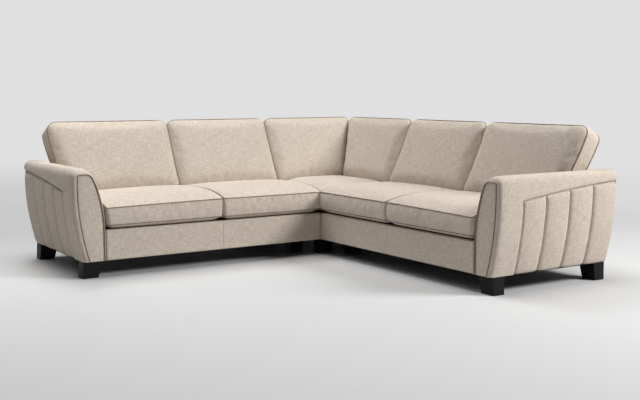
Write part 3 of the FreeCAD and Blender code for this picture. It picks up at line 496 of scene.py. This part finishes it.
def ring_of(points, na, nb, level):
    """Indexes of the points round one level of a box shell, in order."""
    order = [(i, 0) for i in range(na)] + [(na, j) for j in range(nb)]
    order += [(i, nb) for i in range(na, 0, -1)] + [(0, j) for j in range(nb, 0, -1)]
    index = {key: n for n, key in enumerate(points)}
    return [index[(i, j, level)] for i, j in order]


def cushion(name, body, size, place, limits):
    """A box cushion: place turns shares of its length, width and thickness into a point."""
    length, width, thick = size
    na, nb, nc = (max(4, int(round(value / CELL))) for value in (length, width, thick * SIDE_CELLS))
    keys, tagged = box_shell(na, nb, nc)
    points = [place(eased(i / na), eased(j / nb), k / nc) for i, j, k in keys]
    faces = [face for side, face in tagged]
    corners = []
    for side, face in tagged:
        spots = []
        for index in face:
            i, j, k = keys[index]
            a, b, c = eased(i / na) * length, eased(j / nb) * width, k / nc * thick
            spots.append({"low": (a, b), "high": (a, b + width + thick),
                          "near": (a, c - thick), "far": (a, c + width),
                          "left": (c - thick, b), "right": (c + length, b)}[side])
        corners.append(spots)
    item = make_object(name, points, faces, corners, linen, body, "closed")
    rings = {"low": ring_of(keys, na, nb, 0), "high": ring_of(keys, na, nb, nc)}
    return item, rings, side_limits(keys, (na, nb, nc), limits)


def side_limits(keys, counts, limits):
    """How far each point of a box shell may move: the least that one of its sides allows."""
    sides = (("left", "right"), ("near", "far"), ("low", "high"))
    found = []
    for key in keys:
        reach = [limits[pair[0 if place == 0 else 1]] for place, count, pair in zip(key, counts, sides)
                 if place in (0, count)]
        found.append(min(reach))
    return np.array(found)


def plump(made):
    """Let the filling press the covers out between their held seams, as cloth under pressure."""
    scene = bpy.context.scene
    for item, rings, limits in made:
        held = item.vertex_groups.new(name="seams")
        held.add([n for ring in rings.values() for n in ring], 1.0, "REPLACE")
        cloth = item.modifiers.new("Cloth", "CLOTH")
        cloth.settings.quality = 4
        cloth.settings.mass = 0.3
        cloth.settings.tension_stiffness = 15
        cloth.settings.compression_stiffness = 15
        cloth.settings.shear_stiffness = 5
        cloth.settings.bending_stiffness = 2
        cloth.settings.use_pressure = True
        cloth.settings.uniform_pressure_force = 4
        cloth.settings.shrink_min = -0.012
        cloth.settings.vertex_group_mass = "seams"
        cloth.settings.effector_weights.gravity = 0
        cloth.point_cache.frame_start = 1
        cloth.point_cache.frame_end = FRAMES
    for step in range(1, FRAMES + 1):
        scene.frame_set(step)
    graph = bpy.context.evaluated_depsgraph_get()
    for item, rings, limits in made:
        before = coordinates(item.data)
        moved = coordinates(item.evaluated_get(graph).data) - before
        length = np.linalg.norm(moved, axis=1) + 1e-9
        reach = np.maximum(limits, 1e-6)
        moved *= (reach * np.tanh(length / reach) / length)[:, None]
        item.data.vertices.foreach_set("co", (before + moved).ravel())
    for item, rings, limits in made:
        item.modifiers.remove(item.modifiers["Cloth"])
        item.vertex_groups.clear()
    scene.frame_set(1)


def finish_cushion(item, rings):
    """Sew piping along the cushion's seams, then smooth it."""
    bpy.context.view_layer.update()
    for level, ring in rings.items():
        line = [item.data.vertices[n].co.copy() for n in ring]
        cord_tube("%s_%s_piping" % (item.name, level), line, True, item)
    soften(item)


# Seat cushions

# Heights of the lower seam, the upper seam at the front, the crown and the sides
SEAT_LOW = 0.321
SEAT_SEAM = 0.437
SEAT_CROWN = 0.490
SEAT_SIDE = 0.481

# How far back the top rises, how it falls again, and how the end seat bends beside the arm
SEAT_REACH = 0.300
SEAT_REAR_FALL = 0.008
SEAT_END_FALL = 0.011
SEAT_FLARE = 0.007

# Rounds of the corners, swells between the seams, and the space round each cushion
SEAT_ROUND = 0.024
SEAT_TOP_ROUND = 0.009
SEAT_REAR_ROUND = 0.020
SEAT_FRONT_SWELL = 0.007
SEAT_TOP_SWELL = 0.004
SEAT_TOP_REACH = 0.12
SEAT_LOW_REACH = 0.07
SEAT_PINCH = 0.0025
SEAT_GAP = 0.0017
ARM_GAP = 0.003
DECK_GAP = 0.0015


def seat_rise(deep, high):
    """Height of a seat's top at a depth, which rises in an arc from the front seam."""
    share = min(1, max(0, deep / SEAT_REACH))
    top = SEAT_SEAM + (high - SEAT_SEAM) * (1 - (1 - share) ** 2) ** 0.8
    fall = max(0, deep - SEAT_REACH) / (SEAT_REAR - SEAT_REACH)
    return top - SEAT_REAR_FALL * fall ** 2


def seat_cushion(name, body, start, end, front, corner=False):
    """A boxed seat cushion between two places along a wing."""
    middle = (start + end) / 2
    half = (end - start) / 2
    deep_middle = (front + SEAT_REAR) / 2
    deep_half = (SEAT_REAR - front) / 2

    def place(a, b, c):
        p, q = 2 * a - 1, 2 * b - 1
        radii = (SEAT_ROUND + (SEAT_TOP_ROUND - SEAT_ROUND) * c, SEAT_REAR_ROUND)
        x, y = rounded(p, q, half, deep_half, radii)
        out = middle + x * half
        deep = deep_middle + y * deep_half
        towards_arm = max(0, (out - SEAT_JOINT) / (RUN - SEAT_JOINT))
        fall = SEAT_END_FALL * towards_arm ** 1.5
        out += SEAT_FLARE * c * towards_arm ** 3
        edge = seat_rise(deep - front, SEAT_SIDE) - fall
        top = seat_rise(deep - front, SEAT_CROWN) - fall
        if corner:
            edge = min(edge, seat_rise(-out - front, SEAT_SIDE))
            top = min(top, seat_rise(-out - front, SEAT_CROWN))
        if c == 1:
            up = edge + (top - edge) * (1 - abs(p) ** 2.6)
            up += SEAT_TOP_SWELL * dome(p, q, half, deep_half, SEAT_TOP_REACH)
        elif c == 0:
            hang = SEAT_LOW - DECK - DECK_GAP
            up = SEAT_LOW - hang * dome(p, q, half, deep_half, SEAT_LOW_REACH, 1.0)
        else:
            up = SEAT_LOW + (edge - SEAT_LOW) * c
        belly = math.sin(math.pi * c)
        if b == 0 and 0 < a < 1:
            deep -= SEAT_FRONT_SWELL * belly ** 0.7
        out -= math.copysign(SEAT_PINCH * (1 - abs(belly)), p) * abs(p) ** 8
        return wing_spot("left", out, deep, up)

    limits = {"high": 0.005, "near": 0.0 if corner else 0.008, "left": 0, "right": 0, "far": 0, "low": 0}
    return cushion(name, body, (end - start, SEAT_REAR - front, SEAT_SEAM - SEAT_LOW), place, limits)


def seat_cushions():
    """The left wing's two seat cushions, and the corner's."""
    spans = (("end_seat", SEAT_JOINT + SEAT_GAP, RUN - ARM_GAP),
             ("inner_seat", SEAT_GAP, SEAT_JOINT - SEAT_GAP))
    made = [seat_cushion("left_%s_cushion" % name, "left_" + name, start, end, SEAT_FRONT)
            for name, start, end in spans]
    corner = seat_cushion("corner_seat_cushion", "corner_seat", -SEAT_REAR, -SEAT_GAP, SEAT_GAP, corner=True)
    return made, corner


# Back cushions

# Lean, depth and height of the lower front edge, size, and rounds of the corners
LEAN = math.radians(25.5)
BACK_FRONT = 0.612
BACK_LOW = 0.455
BACK_HIGH = 0.520
BACK_THICK = 0.115
BACK_HALF = 0.38
BACK_ROUND = (0.030, 0.062)

# Joints between the cushions of a wing, and how the end one widens along the arm
BACK_JOINT = 0.777
BACK_SHIFT = 0.025
BACK_GAP = 0.0015
BACK_END_FLARE = 0.087
BACK_END_BOW = 0.115

# Swells of the sides and the top, and of the front and the rear with how far they take to rise
BACK_SIDE_SWELL = 0.004
BACK_TOP_SWELL = 0.008
BACK_FRONT_SWELLS = ((0.032, 0.085), (0.011, 0.22))
BACK_REAR_SWELL = (0.004, 0.20)


def back_cushion(name, sides):
    """A leaning boxed cushion; sides gives its two ends at a height and a depth."""
    halves = (BACK_HALF, BACK_HIGH / 2)

    def place(a, b, c):
        p, q = 2 * a - 1, 2 * b - 1
        x, y = rounded(p, q, *halves, BACK_ROUND)
        up = (y + 1) / 2 * BACK_HIGH
        deep = c * BACK_THICK
        if c == 0:
            for swell, reach in BACK_FRONT_SWELLS:
                deep -= swell * dome(p, q, *halves, reach)
        elif c == 1:
            swell, reach = BACK_REAR_SWELL
            deep += swell * dome(p, q, *halves, reach)
        belly = math.sin(math.pi * c)
        up += BACK_TOP_SWELL * belly * max(0, y) ** 6
        start, end = sides(up, max(0, min(BACK_THICK, deep)))
        out = start + (end - start) * (x + 1) / 2
        out += math.copysign(BACK_SIDE_SWELL, x) * belly * abs(x) ** 6
        return wing_spot("left", out, BACK_FRONT + up * math.sin(LEAN) + deep * math.cos(LEAN),
                         BACK_LOW + up * math.cos(LEAN) - deep * math.sin(LEAN))

    limits = {"low": 0.010, "far": 0.005, "left": 0, "right": 0, "near": 0, "high": 0.002}
    return cushion(name, "sofa", (2 * BACK_HALF, BACK_HIGH, BACK_THICK), place, limits)


def back_cushions():
    """The left wing's three back cushions; the last one ends on the sofa's diagonal."""

    def end_sides(up, deep):
        share = max(0, up - deep * math.tan(LEAN)) / BACK_HIGH
        flare = BACK_END_FLARE * share + BACK_END_BOW * share * (1 - share)
        return BACK_JOINT + BACK_GAP, RUN - ARM_GAP + flare

    def middle_sides(up, deep):
        return -BACK_SHIFT + BACK_GAP, BACK_JOINT - BACK_GAP

    def corner_sides(up, deep):
        diagonal = BACK_FRONT + up * math.sin(LEAN) + deep * math.cos(LEAN)
        return -diagonal + 1.5 * BACK_GAP, -BACK_SHIFT - BACK_GAP

    return [back_cushion("left_%s_back" % name, sides)
            for name, sides in (("end", end_sides), ("middle", middle_sides), ("corner", corner_sides))]


def cushions():
    """Make, fill and mirror all loose cushions."""
    seats, corner = seat_cushions()
    backs = back_cushions()
    plump(seats + [corner] + backs)
    for n, (item, rings, limits) in enumerate(seats + backs):
        body = item["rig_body"].replace("left", "right")
        twin = mirror_twin(item, item.name.replace("left", "right"), body, 3.3 + n)
        seat = n < len(seats)
        node = item.name.replace("_cushion", "_cover") if seat else item.name + "_cushion"
        for piece, side in ((item, "left"), (twin, "right")):
            finish_cushion(piece, rings)
            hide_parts(node.replace("left", side))
    finish_cushion(corner[0], corner[1])
    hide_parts("corner_seat_cover")


# Arms

# The section: the flare inside, the rounds beside the top, the wide arc outside, the width below
FLARE_START = 0.290
FLARE_ROUND = 0.850
INNER_ROUND = 0.060
OUTER_ROUND = 0.042
SIDE_ROUND = 1.55
FOOT_WIDTH = 0.145

# How far the top gives way at the front, how far back, and between which heights
ARM_SAG = 0.012
ARM_SAG_REACH = 0.10
ARM_SAG_LOW = 0.56
ARM_SAG_RISE = 0.09

# The roll at the rear, and the facing inside the roll at the front
REAR_ROLL = 0.010
FACING_SET = 0.036
FACING_DEEP = 0.003
FACING_CORD = 0.0034
FACING_PUFF = 0.004
FACING_HALVES = (0.06, 0.25)
FACING_REACH = 0.03
FACING_SUNK = 0.003
FACING_SHARES = (0.35, 0.68, 1.0)
EVEN_SHARES = (1.0, 1.0, 1.0)

# The channels: their run and number, their section, and how they end above and below
CHANNEL_START = 0.175
CHANNEL_END = DEPTH - 0.003
CHANNELS = 4
CHANNEL_ROUND = 0.022
CHANNEL_FLANK = 0.62
CHANNEL_END_SWELL = 0.1
RECESS = 0.021
SWELL = 0.022
VALLEY = 0.0018
FOOT_ROUND = 0.022
FOOT_TUCK = 0.012
CHANNEL_FOLD = 0.0012

# The first half of the first channel, beside the rolled edge, and the last half of the last one
FIRST_VALLEY = 0.008
FIRST_ROUND = 0.007
FIRST_DROP = 0.008
FIRST_STEEP = 2.2
LAST_FALL = 0.3

# The seam over the channels
SEAM_FRONT = 0.524
SEAM_REAR = 0.603
SEAM_BOW = 0.009
SEAM_SET = 0.004
SEAM_ROUND = 0.036

# The cover's rolled edge over the channels
EDGE_ROUND = 0.018
EDGE_TUCK = 0.004
LIP_TUCK = 0.013
LIP_FADE = 0.030
COVER_FOLD = 0.0015

# Steps of the cover's grid that close in on that edge, where they begin and how far they go past
EDGE_STEPS = (0.019, 0.013, 0.008, 0.004, 0.0015, 0.0)
EDGE_COLUMNS = 0.026
EDGE_ROWS = 0.025
EDGE_PAST = 0.004

# How far the lip behind that edge goes past it, and how far outwards it lies, ring by ring
LIP_RINGS = ((0.0, 0.0), (0.0015, -0.002), (0.002, -0.005), (0.002, -0.010), (0.001, -0.018))

# Depth and inset of the roll round the arm's facing, from the groove beside it
FRONT_ROLL = ((0.012, 0.038), (0.006, 0.0372), (0.0025, 0.0355), (0.0005, 0.0325), (0.0, 0.029),
              (0.0008, 0.0235), (0.003, 0.0175), (0.0065, 0.012), (0.011, 0.0078), (0.016, 0.0052),
              (0.022, 0.0035), (0.032, 0.0018), (0.045, 0.0006), (0.060, 0.0))


def arm_centres():
    """Centres of the round edges inside and outside the top, and of the outer side's wide arc."""
    drop = ARM_TOP - INNER_ROUND - FLARE_START
    inner = (FLARE_ROUND - math.sqrt((FLARE_ROUND - INNER_ROUND) ** 2 - drop ** 2), ARM_TOP - INNER_ROUND)
    outer = (ARM_SPREAD - OUTER_ROUND, ARM_TOP - OUTER_ROUND)
    span = math.hypot(outer[0] - FOOT_WIDTH, outer[1] - UNDERSIDE)
    along = (SIDE_ROUND ** 2 - (SIDE_ROUND - OUTER_ROUND) ** 2 + span ** 2) / (2 * span)
    across = math.sqrt(SIDE_ROUND ** 2 - along ** 2)
    step = ((outer[0] - FOOT_WIDTH) / span, (outer[1] - UNDERSIDE) / span)
    side = (FOOT_WIDTH + along * step[0] - across * step[1],
            UNDERSIDE + along * step[1] + across * step[0])
    return inner, outer, side


def turn_points(centre, radius, start, end, count, inset=(0, 0)):
    """Points along an arc, by its start and end angles and how far it is set in at each."""
    points = []
    for n in range(count + 1):
        turn = start + (end - start) * n / count
        reach = radius - inset[0] - (inset[1] - inset[0]) * n / count
        points.append((centre[0] + reach * math.cos(turn), centre[1] + reach * math.sin(turn)))
    return points


def arm_outline(inset, shares=EVEN_SHARES):
    """The arm's section from its inner foot over the top to its outer foot: outwards and up.

    The shares say how much of the inset is taken on the inner side, the top and the outer side.
    """
    inner, outer, side = arm_centres()
    inside, above, outside = (inset * share for share in shares)
    flare = (FLARE_ROUND, FLARE_START)
    lean_in = math.atan2(inner[1] - flare[1], inner[0] - flare[0])
    lean_out = math.atan2(outer[1] - side[1], outer[0] - side[0])
    foot = math.asin((UNDERSIDE - side[1]) / (SIDE_ROUND - outside))
    line = [(inside, UNDERSIDE)]
    line += turn_points(flare, FLARE_ROUND, math.pi, lean_in, 24, (inside, inside))
    line += turn_points(inner, INNER_ROUND, lean_in, math.pi / 2, 12, (inside, above))[1:]
    line += turn_points(outer, OUTER_ROUND, math.pi / 2, lean_out, 12, (above, outside))
    line += turn_points(side, SIDE_ROUND, lean_out, foot, 24, (outside, outside))[1:]
    return line


def lengths_of(line):
    """Running length along an outline."""
    total = [0.0]
    for a, b in zip(line, line[1:]):
        total.append(total[-1] + math.hypot(b[0] - a[0], b[1] - a[1]))
    return total


def point_at(line, total, want):
    """A point of a line at a running length."""
    want = min(max(want, 0), total[-1])
    n = int(np.searchsorted(total, want))
    n = min(max(n, 1), len(line) - 1)
    share = (want - total[n - 1]) / max(1e-9, total[n] - total[n - 1])
    a, b = line[n - 1], line[n]
    return a[0] + (b[0] - a[0]) * share, a[1] + (b[1] - a[1]) * share


def length_at_height(line, total, up):
    """Running length where the line comes down its outer side to a height."""
    for n in range(len(line) - 1, 0, -1):
        if line[n][1] <= up < line[n - 1][1]:
            share = (line[n - 1][1] - up) / (line[n - 1][1] - line[n][1])
            return total[n - 1] + share * (total[n] - total[n - 1])
    return total[-1]


def arm_side(up):
    """How far out the arm's outer side stands at a height."""
    side = arm_centres()[2]
    return side[0] + math.sqrt(SIDE_ROUND ** 2 - (up - side[1]) ** 2)


def arm_inner_side(up):
    """How far out the arm's inner side stands at a height."""
    line = arm_outline(0)
    for a, b in zip(line, line[1:]):
        if a[1] <= up <= b[1]:
            return a[0] + (b[0] - a[0]) * (up - a[1]) / max(1e-9, b[1] - a[1])
    return 0.0


def seam_height(deep):
    """Height of the seam over the channels at a depth."""
    share = min(1, max(0, (deep - CHANNEL_START) / (CHANNEL_END - CHANNEL_START)))
    return SEAM_FRONT + (SEAM_REAR - SEAM_FRONT) * share + SEAM_BOW * 4 * share * (1 - share)


def sagged(up, sag):
    """A height near the arm's front, where the top gives way by a little."""
    return up - sag * min(1, max(0, (up - ARM_SAG_LOW) / ARM_SAG_RISE))


def arm_columns():
    """Depth, inset and its shares for the cover's columns, from the front roll to the rear roll."""
    columns = [(deep, inset, FACING_SHARES) for deep, inset in FRONT_ROLL]
    start = FRONT_ROLL[-1][0]
    span = CHANNEL_START - EDGE_COLUMNS - start
    columns += [(start + span * n / 5, 0.0, EVEN_SHARES) for n in range(1, 6)]
    columns += [(CHANNEL_START - step, 0.0, EVEN_SHARES) for step in EDGE_STEPS]
    first_cut = len(columns) - 1
    start = CHANNEL_START + EDGE_PAST
    end = DEPTH - REAR_ROLL - 0.001
    columns += [(start + (end - start) * share, 0.0, EVEN_SHARES) for share in even(44)]
    columns += [(end + REAR_ROLL * math.sin(turn), REAR_ROLL * (1 - math.cos(turn)), EVEN_SHARES)
                for turn in quarter_turns(8)]
    columns.append((DEPTH - 0.006, REAR_ROLL + 0.003, EVEN_SHARES))
    return columns, first_cut


def arm_cover(side):
    """Padded cover: front strip, top and inner side in one, with a rolled edge over the channels."""
    even_rows, lower = 44, 22
    upper = even_rows + len(EDGE_STEPS)
    columns, first_cut = arm_columns()
    rows = [[] for _ in range(upper + lower + 1)]
    for deep, inset, shares in columns:
        line = arm_outline(inset, shares)
        total = lengths_of(line)
        seam = length_at_height(line, total, seam_height(deep))
        wants = [(seam - EDGE_ROWS) * n / even_rows for n in range(even_rows + 1)]
        wants += [seam - step for step in EDGE_STEPS]
        wants += [seam + (total[-1] - seam) * n / lower for n in range(1, lower + 1)]
        sag = ARM_SAG * (1 - min(1, deep / ARM_SAG_REACH)) ** 2
        for i, want in enumerate(wants):
            from_edge = math.hypot(max(0, CHANNEL_START - deep), max(0, seam - want))
            below = min(1, max(0, (want - seam) / LIP_FADE))
            tuck = LIP_TUCK + (EDGE_TUCK - LIP_TUCK) * below
            tuck *= 1 - round_rise(from_edge / EDGE_ROUND)
            out, up = point_at(line, total, want)
            fold = COVER_FOLD * noise.noise(Vector((deep * 9, want * 7, 2.0 if side == "left" else 8.0)))
            rows[i].append(wing_spot(side, RUN + out + fold - tuck, deep, sagged(up, sag) + fold))
    item = cloth_grid("%s_arm_cover" % side, rows, Vector((0, 0, 1)),
                      wanted=lambda i, j: not (i >= upper and j >= first_cut))
    arm_lip(side, item, rows, upper, first_cut)
    soften(item)
    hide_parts("%s_arm_top_pad" % side, "%s_arm_inner_pad" % side)


def arm_lip(side, parent, rows, upper, first_cut):
    """The cover's edge over the channels, which turns in behind them."""
    down = Vector((0, 0, -1))
    outward = wing_way(side, 1, 0)
    rearward = wing_way(side, 0, 1)
    line = [(row[first_cut], rearward) for row in rows[:upper:-1]]
    line.append((rows[upper][first_cut], (rearward + down).normalized()))
    line += [(point, down) for point in rows[upper][first_cut + 1:]]
    grid = [[point + way * past + outward * out for point, way in line] for past, out in LIP_RINGS]
    item = cloth_grid("%s_arm_lip" % side, grid, outward)
    hang_on(item, parent)
    soften(item)


def channel_out(side, c, across, deep, up, top):
    """How far out a place of one channel stands, by its share of the width and its height."""
    first = c == 0 and across < 0.5
    last = c == CHANNELS - 1 and across > 0.5
    valley = FIRST_VALLEY if first else VALLEY
    edge_round = FIRST_ROUND if first else REAR_ROLL if last else CHANNEL_ROUND
    edge = min(across, 1 - across) * (CHANNEL_END - CHANNEL_START) / CHANNELS
    inside = min(1, max(0, edge - valley) / edge_round)
    crown = 1 - (LAST_FALL if last else 1.0) * (2 * across - 1) ** 2
    shape = CHANNEL_FLANK * round_rise(inside) + (1 - CHANNEL_FLANK) * crown
    tuck = round_rise((top - up - SEAM_SET) / SEAM_ROUND * (FIRST_STEEP if first else 1))
    turn_in = round_rise((up - UNDERSIDE) / FOOT_ROUND)
    fold = CHANNEL_FOLD * noise.noise(Vector((deep * 14, up * 6, 4.0 if side == "left" else 1.0)))
    out = arm_side(up) - RECESS + SWELL * shape * (CHANNEL_END_SWELL + (1 - CHANNEL_END_SWELL) * tuck)
    out += fold - FOOT_TUCK * (1 - turn_in)
    return out - FIRST_DROP * (1 - inside) if first else out


def arm_channels(side):
    """Outer side of the arm: upright padded channels."""
    places = [(c, eased(share, 1)) for c in range(CHANNELS) for share in even(20)[:-1]]
    places.append((CHANNELS - 1, 1.0))
    rows = []
    for share in even(48):
        row = []
        for c, across in places:
            deep = CHANNEL_START + (CHANNEL_END - CHANNEL_START) * (c + across) / CHANNELS
            top = seam_height(deep)
            up = UNDERSIDE + (top - UNDERSIDE) * eased(share, 0.65)
            row.append(wing_spot(side, RUN + channel_out(side, c, across, deep, up, top), deep, up))
        rows.append(row)
    item = cloth_grid("%s_arm_channels" % side, rows, wing_way(side, 1, 0))
    soften(item)
    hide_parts("%s_arm_channel_panel" % side)


def section_panel(name, side, inset, shares, puff, deep, sign, sag):
    """A padded panel with the arm's section, which faces forwards (-1) or rearwards (1)."""
    line = arm_outline(inset, shares)
    peak = max(up for out, up in line)
    tops = [n for n, (out, up) in enumerate(line) if abs(up - peak) < 1e-6]
    inner_line, outer_line = line[:tops[0] + 1], line[tops[-1]:][::-1]
    inner_total, outer_total = lengths_of(inner_line), lengths_of(outer_line)
    rows = []
    for share in even(40):
        a = point_at(inner_line, inner_total, inner_total[-1] * share)
        b = point_at(outer_line, outer_total, outer_total[-1] * share)
        row = []
        for across in (eased(step) for step in even(16)):
            rise = puff * dome(2 * across - 1, max(2 * share - 1, 0), *FACING_HALVES, FACING_REACH)
            out = RUN + a[0] + (b[0] - a[0]) * across
            up = a[1] + (b[1] - a[1]) * across
            row.append(wing_spot(side, out, deep + sign * (rise - FACING_SUNK), sagged(up, sag)))
        rows.append(row)
    item = cloth_grid(name, rows, wing_way(side, 0, 1) * sign)
    if sign < 0:
        edge = [wing_spot(side, RUN + out, deep - FACING_CORD, sagged(up, sag)) for out, up in line]
        cord_tube(name + "_piping", edge, False, item, FACING_CORD)
    soften(item)
    return item


def arms():
    for side in SIDES:
        arm_cover(side)
        arm_channels(side)
        facing = section_panel("%s_arm_facing" % side, side, FACING_SET, FACING_SHARES, FACING_PUFF,
                               FACING_DEEP, -1, ARM_SAG)
        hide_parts("%s_arm_front_panel" % side)
        section_panel("%s_arm_rear_facing" % side, side, REAR_ROLL, EVEN_SHARES, 0.002, DEPTH - 0.002, 1, 0.0)


# Base, back and ledge

# The base border: where its face begins, its upper round, its tucked ends and its folds
BORDER_LOW = 0.006
BORDER_ROUND = 0.008
BORDER_TUCK = 0.004
BORDER_END = 0.012
BORDER_FOLD = 0.0015
BORDER_SET = 0.0012


def base_border():
    """Padded front of the base in two lengths, tucked in at the seam between them."""
    low = UNDERSIDE + BORDER_LOW
    high = DECK - BORDER_ROUND
    profile = [(0.016, UNDERSIDE), (0.006, UNDERSIDE), (0.002, UNDERSIDE + 0.002), (0.0, low)]
    profile += [(0.0, low + (high - low) * n / 12) for n in range(1, 13)]
    profile += [(BORDER_ROUND * (1 - math.cos(turn)), high + BORDER_ROUND * math.sin(turn))
                for turn in quarter_turns(5)]
    profile += [(0.02, DECK), (0.04, DECK - 0.001)]
    for side in SIDES:
        for mark, start, end in (("inner", 0.0, SEAT_JOINT), ("outer", SEAT_JOINT, RUN)):
            seed = start + (5 if side == "right" else 0)
            rows = []
            for share in (eased(step, 1) for step in even(60)):
                edge = (1 - abs(2 * share - 1)) * (end - start) / 2
                tuck = BORDER_TUCK * (1 - round_rise(edge / BORDER_END))
                row = []
                for step, (deep, up) in zip(even(len(profile) - 1), profile):
                    fold = BORDER_FOLD * noise.noise(Vector((share * 7, step * 2, seed)))
                    push = tuck + fold - BORDER_SET
                    row.append(wing_spot(side, start + (end - start) * share, deep + push, up))
                rows.append(row)
            item = cloth_grid("%s_base_border_%s" % (side, mark), rows, wing_way(side, 0, -1))
            soften(item)
        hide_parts("%s_base_border" % side)


# The back's panels: how far from their ends they tuck in, how deep, and their folds
PANEL_END = 0.010
PANEL_TUCK = 0.003
PANEL_FOLD = 0.0016


def back_outlines():
    """Depth and height along the lining behind the cushions, the ledge and the outside back."""
    ledge_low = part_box("left_back_ledge")[0].z
    lining = [(0.608, DECK - 0.005), (0.608, 0.4569), (0.7158, 0.4055), (0.8238, ledge_low)]
    ledge = [(LEDGE_FRONT, ledge_low), (LEDGE_FRONT - 0.001, LEDGE - 0.010),
             (LEDGE_FRONT + 0.003, LEDGE - 0.003), (LEDGE_FRONT + 0.010, LEDGE), (0.86, LEDGE + 0.002),
             (0.90, LEDGE + 0.002), (DEPTH - 0.008, LEDGE - 0.001), (DEPTH - 0.002, LEDGE - 0.005)]
    high, low = LEDGE - 0.012, UNDERSIDE + 0.006
    outside = [ledge[-1]] + [(DEPTH, high + (low - high) * share) for share in even(16)]
    outside += [(DEPTH - 0.003, UNDERSIDE), (DEPTH - 0.02, UNDERSIDE)]
    return (("lining", lining, "inside_back"), ("ledge", ledge, "back_ledge"),
            ("outside", outside, "outside_back"))


def back_end(kind, where, deep, up):
    """Where a panel of the back ends: at the arm, or on the diagonal behind the corner."""
    if where == "corner":
        return -deep
    if kind == "outside":
        return RUN + arm_inner_side(up) + 0.004
    return RUN + (0.078 if kind == "ledge" else 0.05)


def back_panels():
    """Outside back, ledge and the lining behind the cushions, on the wings and round the corner."""
    for side in SIDES:
        back = wing_way(side, 0, 1)
        seed = 3.0 if side == "left" else 6.0
        for where in ("wing", "corner"):
            for kind, profile, node in back_outlines():
                rows = []
                for share in even(40):
                    row = []
                    for deep, up in profile:
                        end = back_end(kind, where, deep, up)
                        out = end * share
                        fold = PANEL_FOLD * noise.noise(Vector((out * 3, up * 4, seed)))
                        tuck = PANEL_TUCK * (1 - round_rise(min(share, 1 - share) * abs(end) / PANEL_END))
                        inward = fold - PANEL_FOLD - tuck if kind == "outside" else 0
                        row.append(wing_spot(side, out, deep + inward, up - (tuck if kind == "ledge" else 0)))
                    rows.append(row)
                direction = {"lining": -back, "ledge": Vector((0, 0, 1)), "outside": back}[kind]
                item = cloth_grid("%s_%s_%s" % (side, where, node), rows, direction)
                soften(item)
                if where == "wing":
                    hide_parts("%s_%s" % (side, node))
                elif side == "left":
                    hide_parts("corner_%s" % node)


# Stage, light and camera

BACKDROP = srgb(224, 224, 224)
FLOOR = srgb(212, 212, 212)
# Painted shade for the far floor's left-rear side and painted light for its right side
FLOOR_PAINTED_SHADE = srgb(204, 204, 204)
FLOOR_PAINTED_LIGHT = srgb(218, 218, 218)
FLOOR_HALF = 40.0


def stage():
    """A floor that takes the sofa's shadow; further away the camera sees it glow with painted shade on its
    left-rear side and painted light on its right, turning into the backdrop.
    """
    mesh = bpy.data.meshes.new("floor")
    ring = [(x * FLOOR_HALF, y * FLOOR_HALF, 0) for x, y in ((-1, -1), (1, -1), (1, 1), (-1, 1))]
    mesh.from_pydata(ring, [], [(0, 1, 2, 3)])
    floor = bpy.data.objects.new("floor", mesh)
    bpy.context.scene.collection.objects.link(floor)
    n = Nodes(bpy.data.materials.new("studio_floor"))

    def between(value, start, end):
        return n.add("MapRange", {"Value": value, "From Min": start, "From Max": end},
                     interpolation_type="SMOOTHSTEP").outputs[0]

    where = n.add("TexCoord").outputs["Object"]
    reach = n.add("VectorMath", {0: where}, operation="LENGTH").outputs["Value"]
    across = n.add("VectorMath", {0: where, 1: (0.835, -0.55, 0)}, operation="DOT_PRODUCT").outputs["Value"]
    # Painted shade towards the left-rear and painted light towards the right
    sides = n.mix(between(across, -2.5, 2.5), FLOOR_PAINTED_SHADE, FLOOR_PAINTED_LIGHT)
    painted_far_floor = n.mix(between(reach, 5.0, 11.0), sides, BACKDROP)
    n.set(Base_Color=FLOOR, Roughness=0.6, Specular_IOR_Level=0.1)
    # Beyond 2.4 m the camera sees this painted colour glow in place of the lit floor
    painted_floor_glow = n.add("Emission", {"Color": painted_far_floor, "Strength": 1.0})
    share = n.math("MULTIPLY", between(reach, 2.4, 5.0), n.seen())
    n.blend_shaders(share, n.tree.nodes["Principled BSDF"], painted_floor_glow, "Material Output")
    mesh.materials.append(n.owner)


def world():
    """The backdrop where it is seen; it gives no light, which comes from the lamps alone."""
    n = Nodes(bpy.data.worlds.new("studio"))
    bpy.context.scene.world = n.owner
    unlit = n.tree.nodes["Background"]
    unlit.inputs["Strength"].default_value = 0.0
    shown = n.add("Background", {"Color": BACKDROP})
    n.blend_shaders(n.seen(), unlit, shown, "World Output")


def lamp(name, place, target, power, size):
    data = bpy.data.lights.new(name, "AREA")
    data.shape = "DISK"
    data.size = size
    data.energy = power
    item = bpy.data.objects.new(name, data)
    bpy.context.scene.collection.objects.link(item)
    item.location = place
    item.rotation_euler = (Vector(target) - Vector(place)).to_track_quat("-Z", "Y").to_euler()


def lights():
    lamp("key", (4.1, -4.9, 3.95), (0.2, 0.0, 0.4), 410, 2.6)
    lamp("top", (0.0, 0.0, 8.0), (0.0, 0.0, 0.4), 255, 5.0)
    lamp("rear", (-0.6, 3.4, 6.0), (0.2, 0.0, 0.4), 155, 2.6)
    lamp("side", (-3.4, 2.4, 2.6), (-1.4, 0.2, 0.4), 10, 1.6)
    lamp("arm_top", (-1.7, 0.9, 2.9), (-1.5, 0.5, 0.4), 20, 1.6)


def camera():
    data = bpy.data.cameras.new("camera")
    data.sensor_width = 36
    data.lens = 54.74
    item = bpy.data.objects.new("camera", data)
    bpy.context.scene.collection.objects.link(item)
    item.location = (-3.294, -5.195, 1.128)
    item.rotation_euler = (math.radians(83.65), 0, math.radians(-33.42))
    bpy.context.scene.camera = item


camera()
stage()
world()
lights()
dress_nodes()
base_border()
arms()
back_panels()
cushions()

bpy.context.scene.view_settings.view_transform = "Standard"
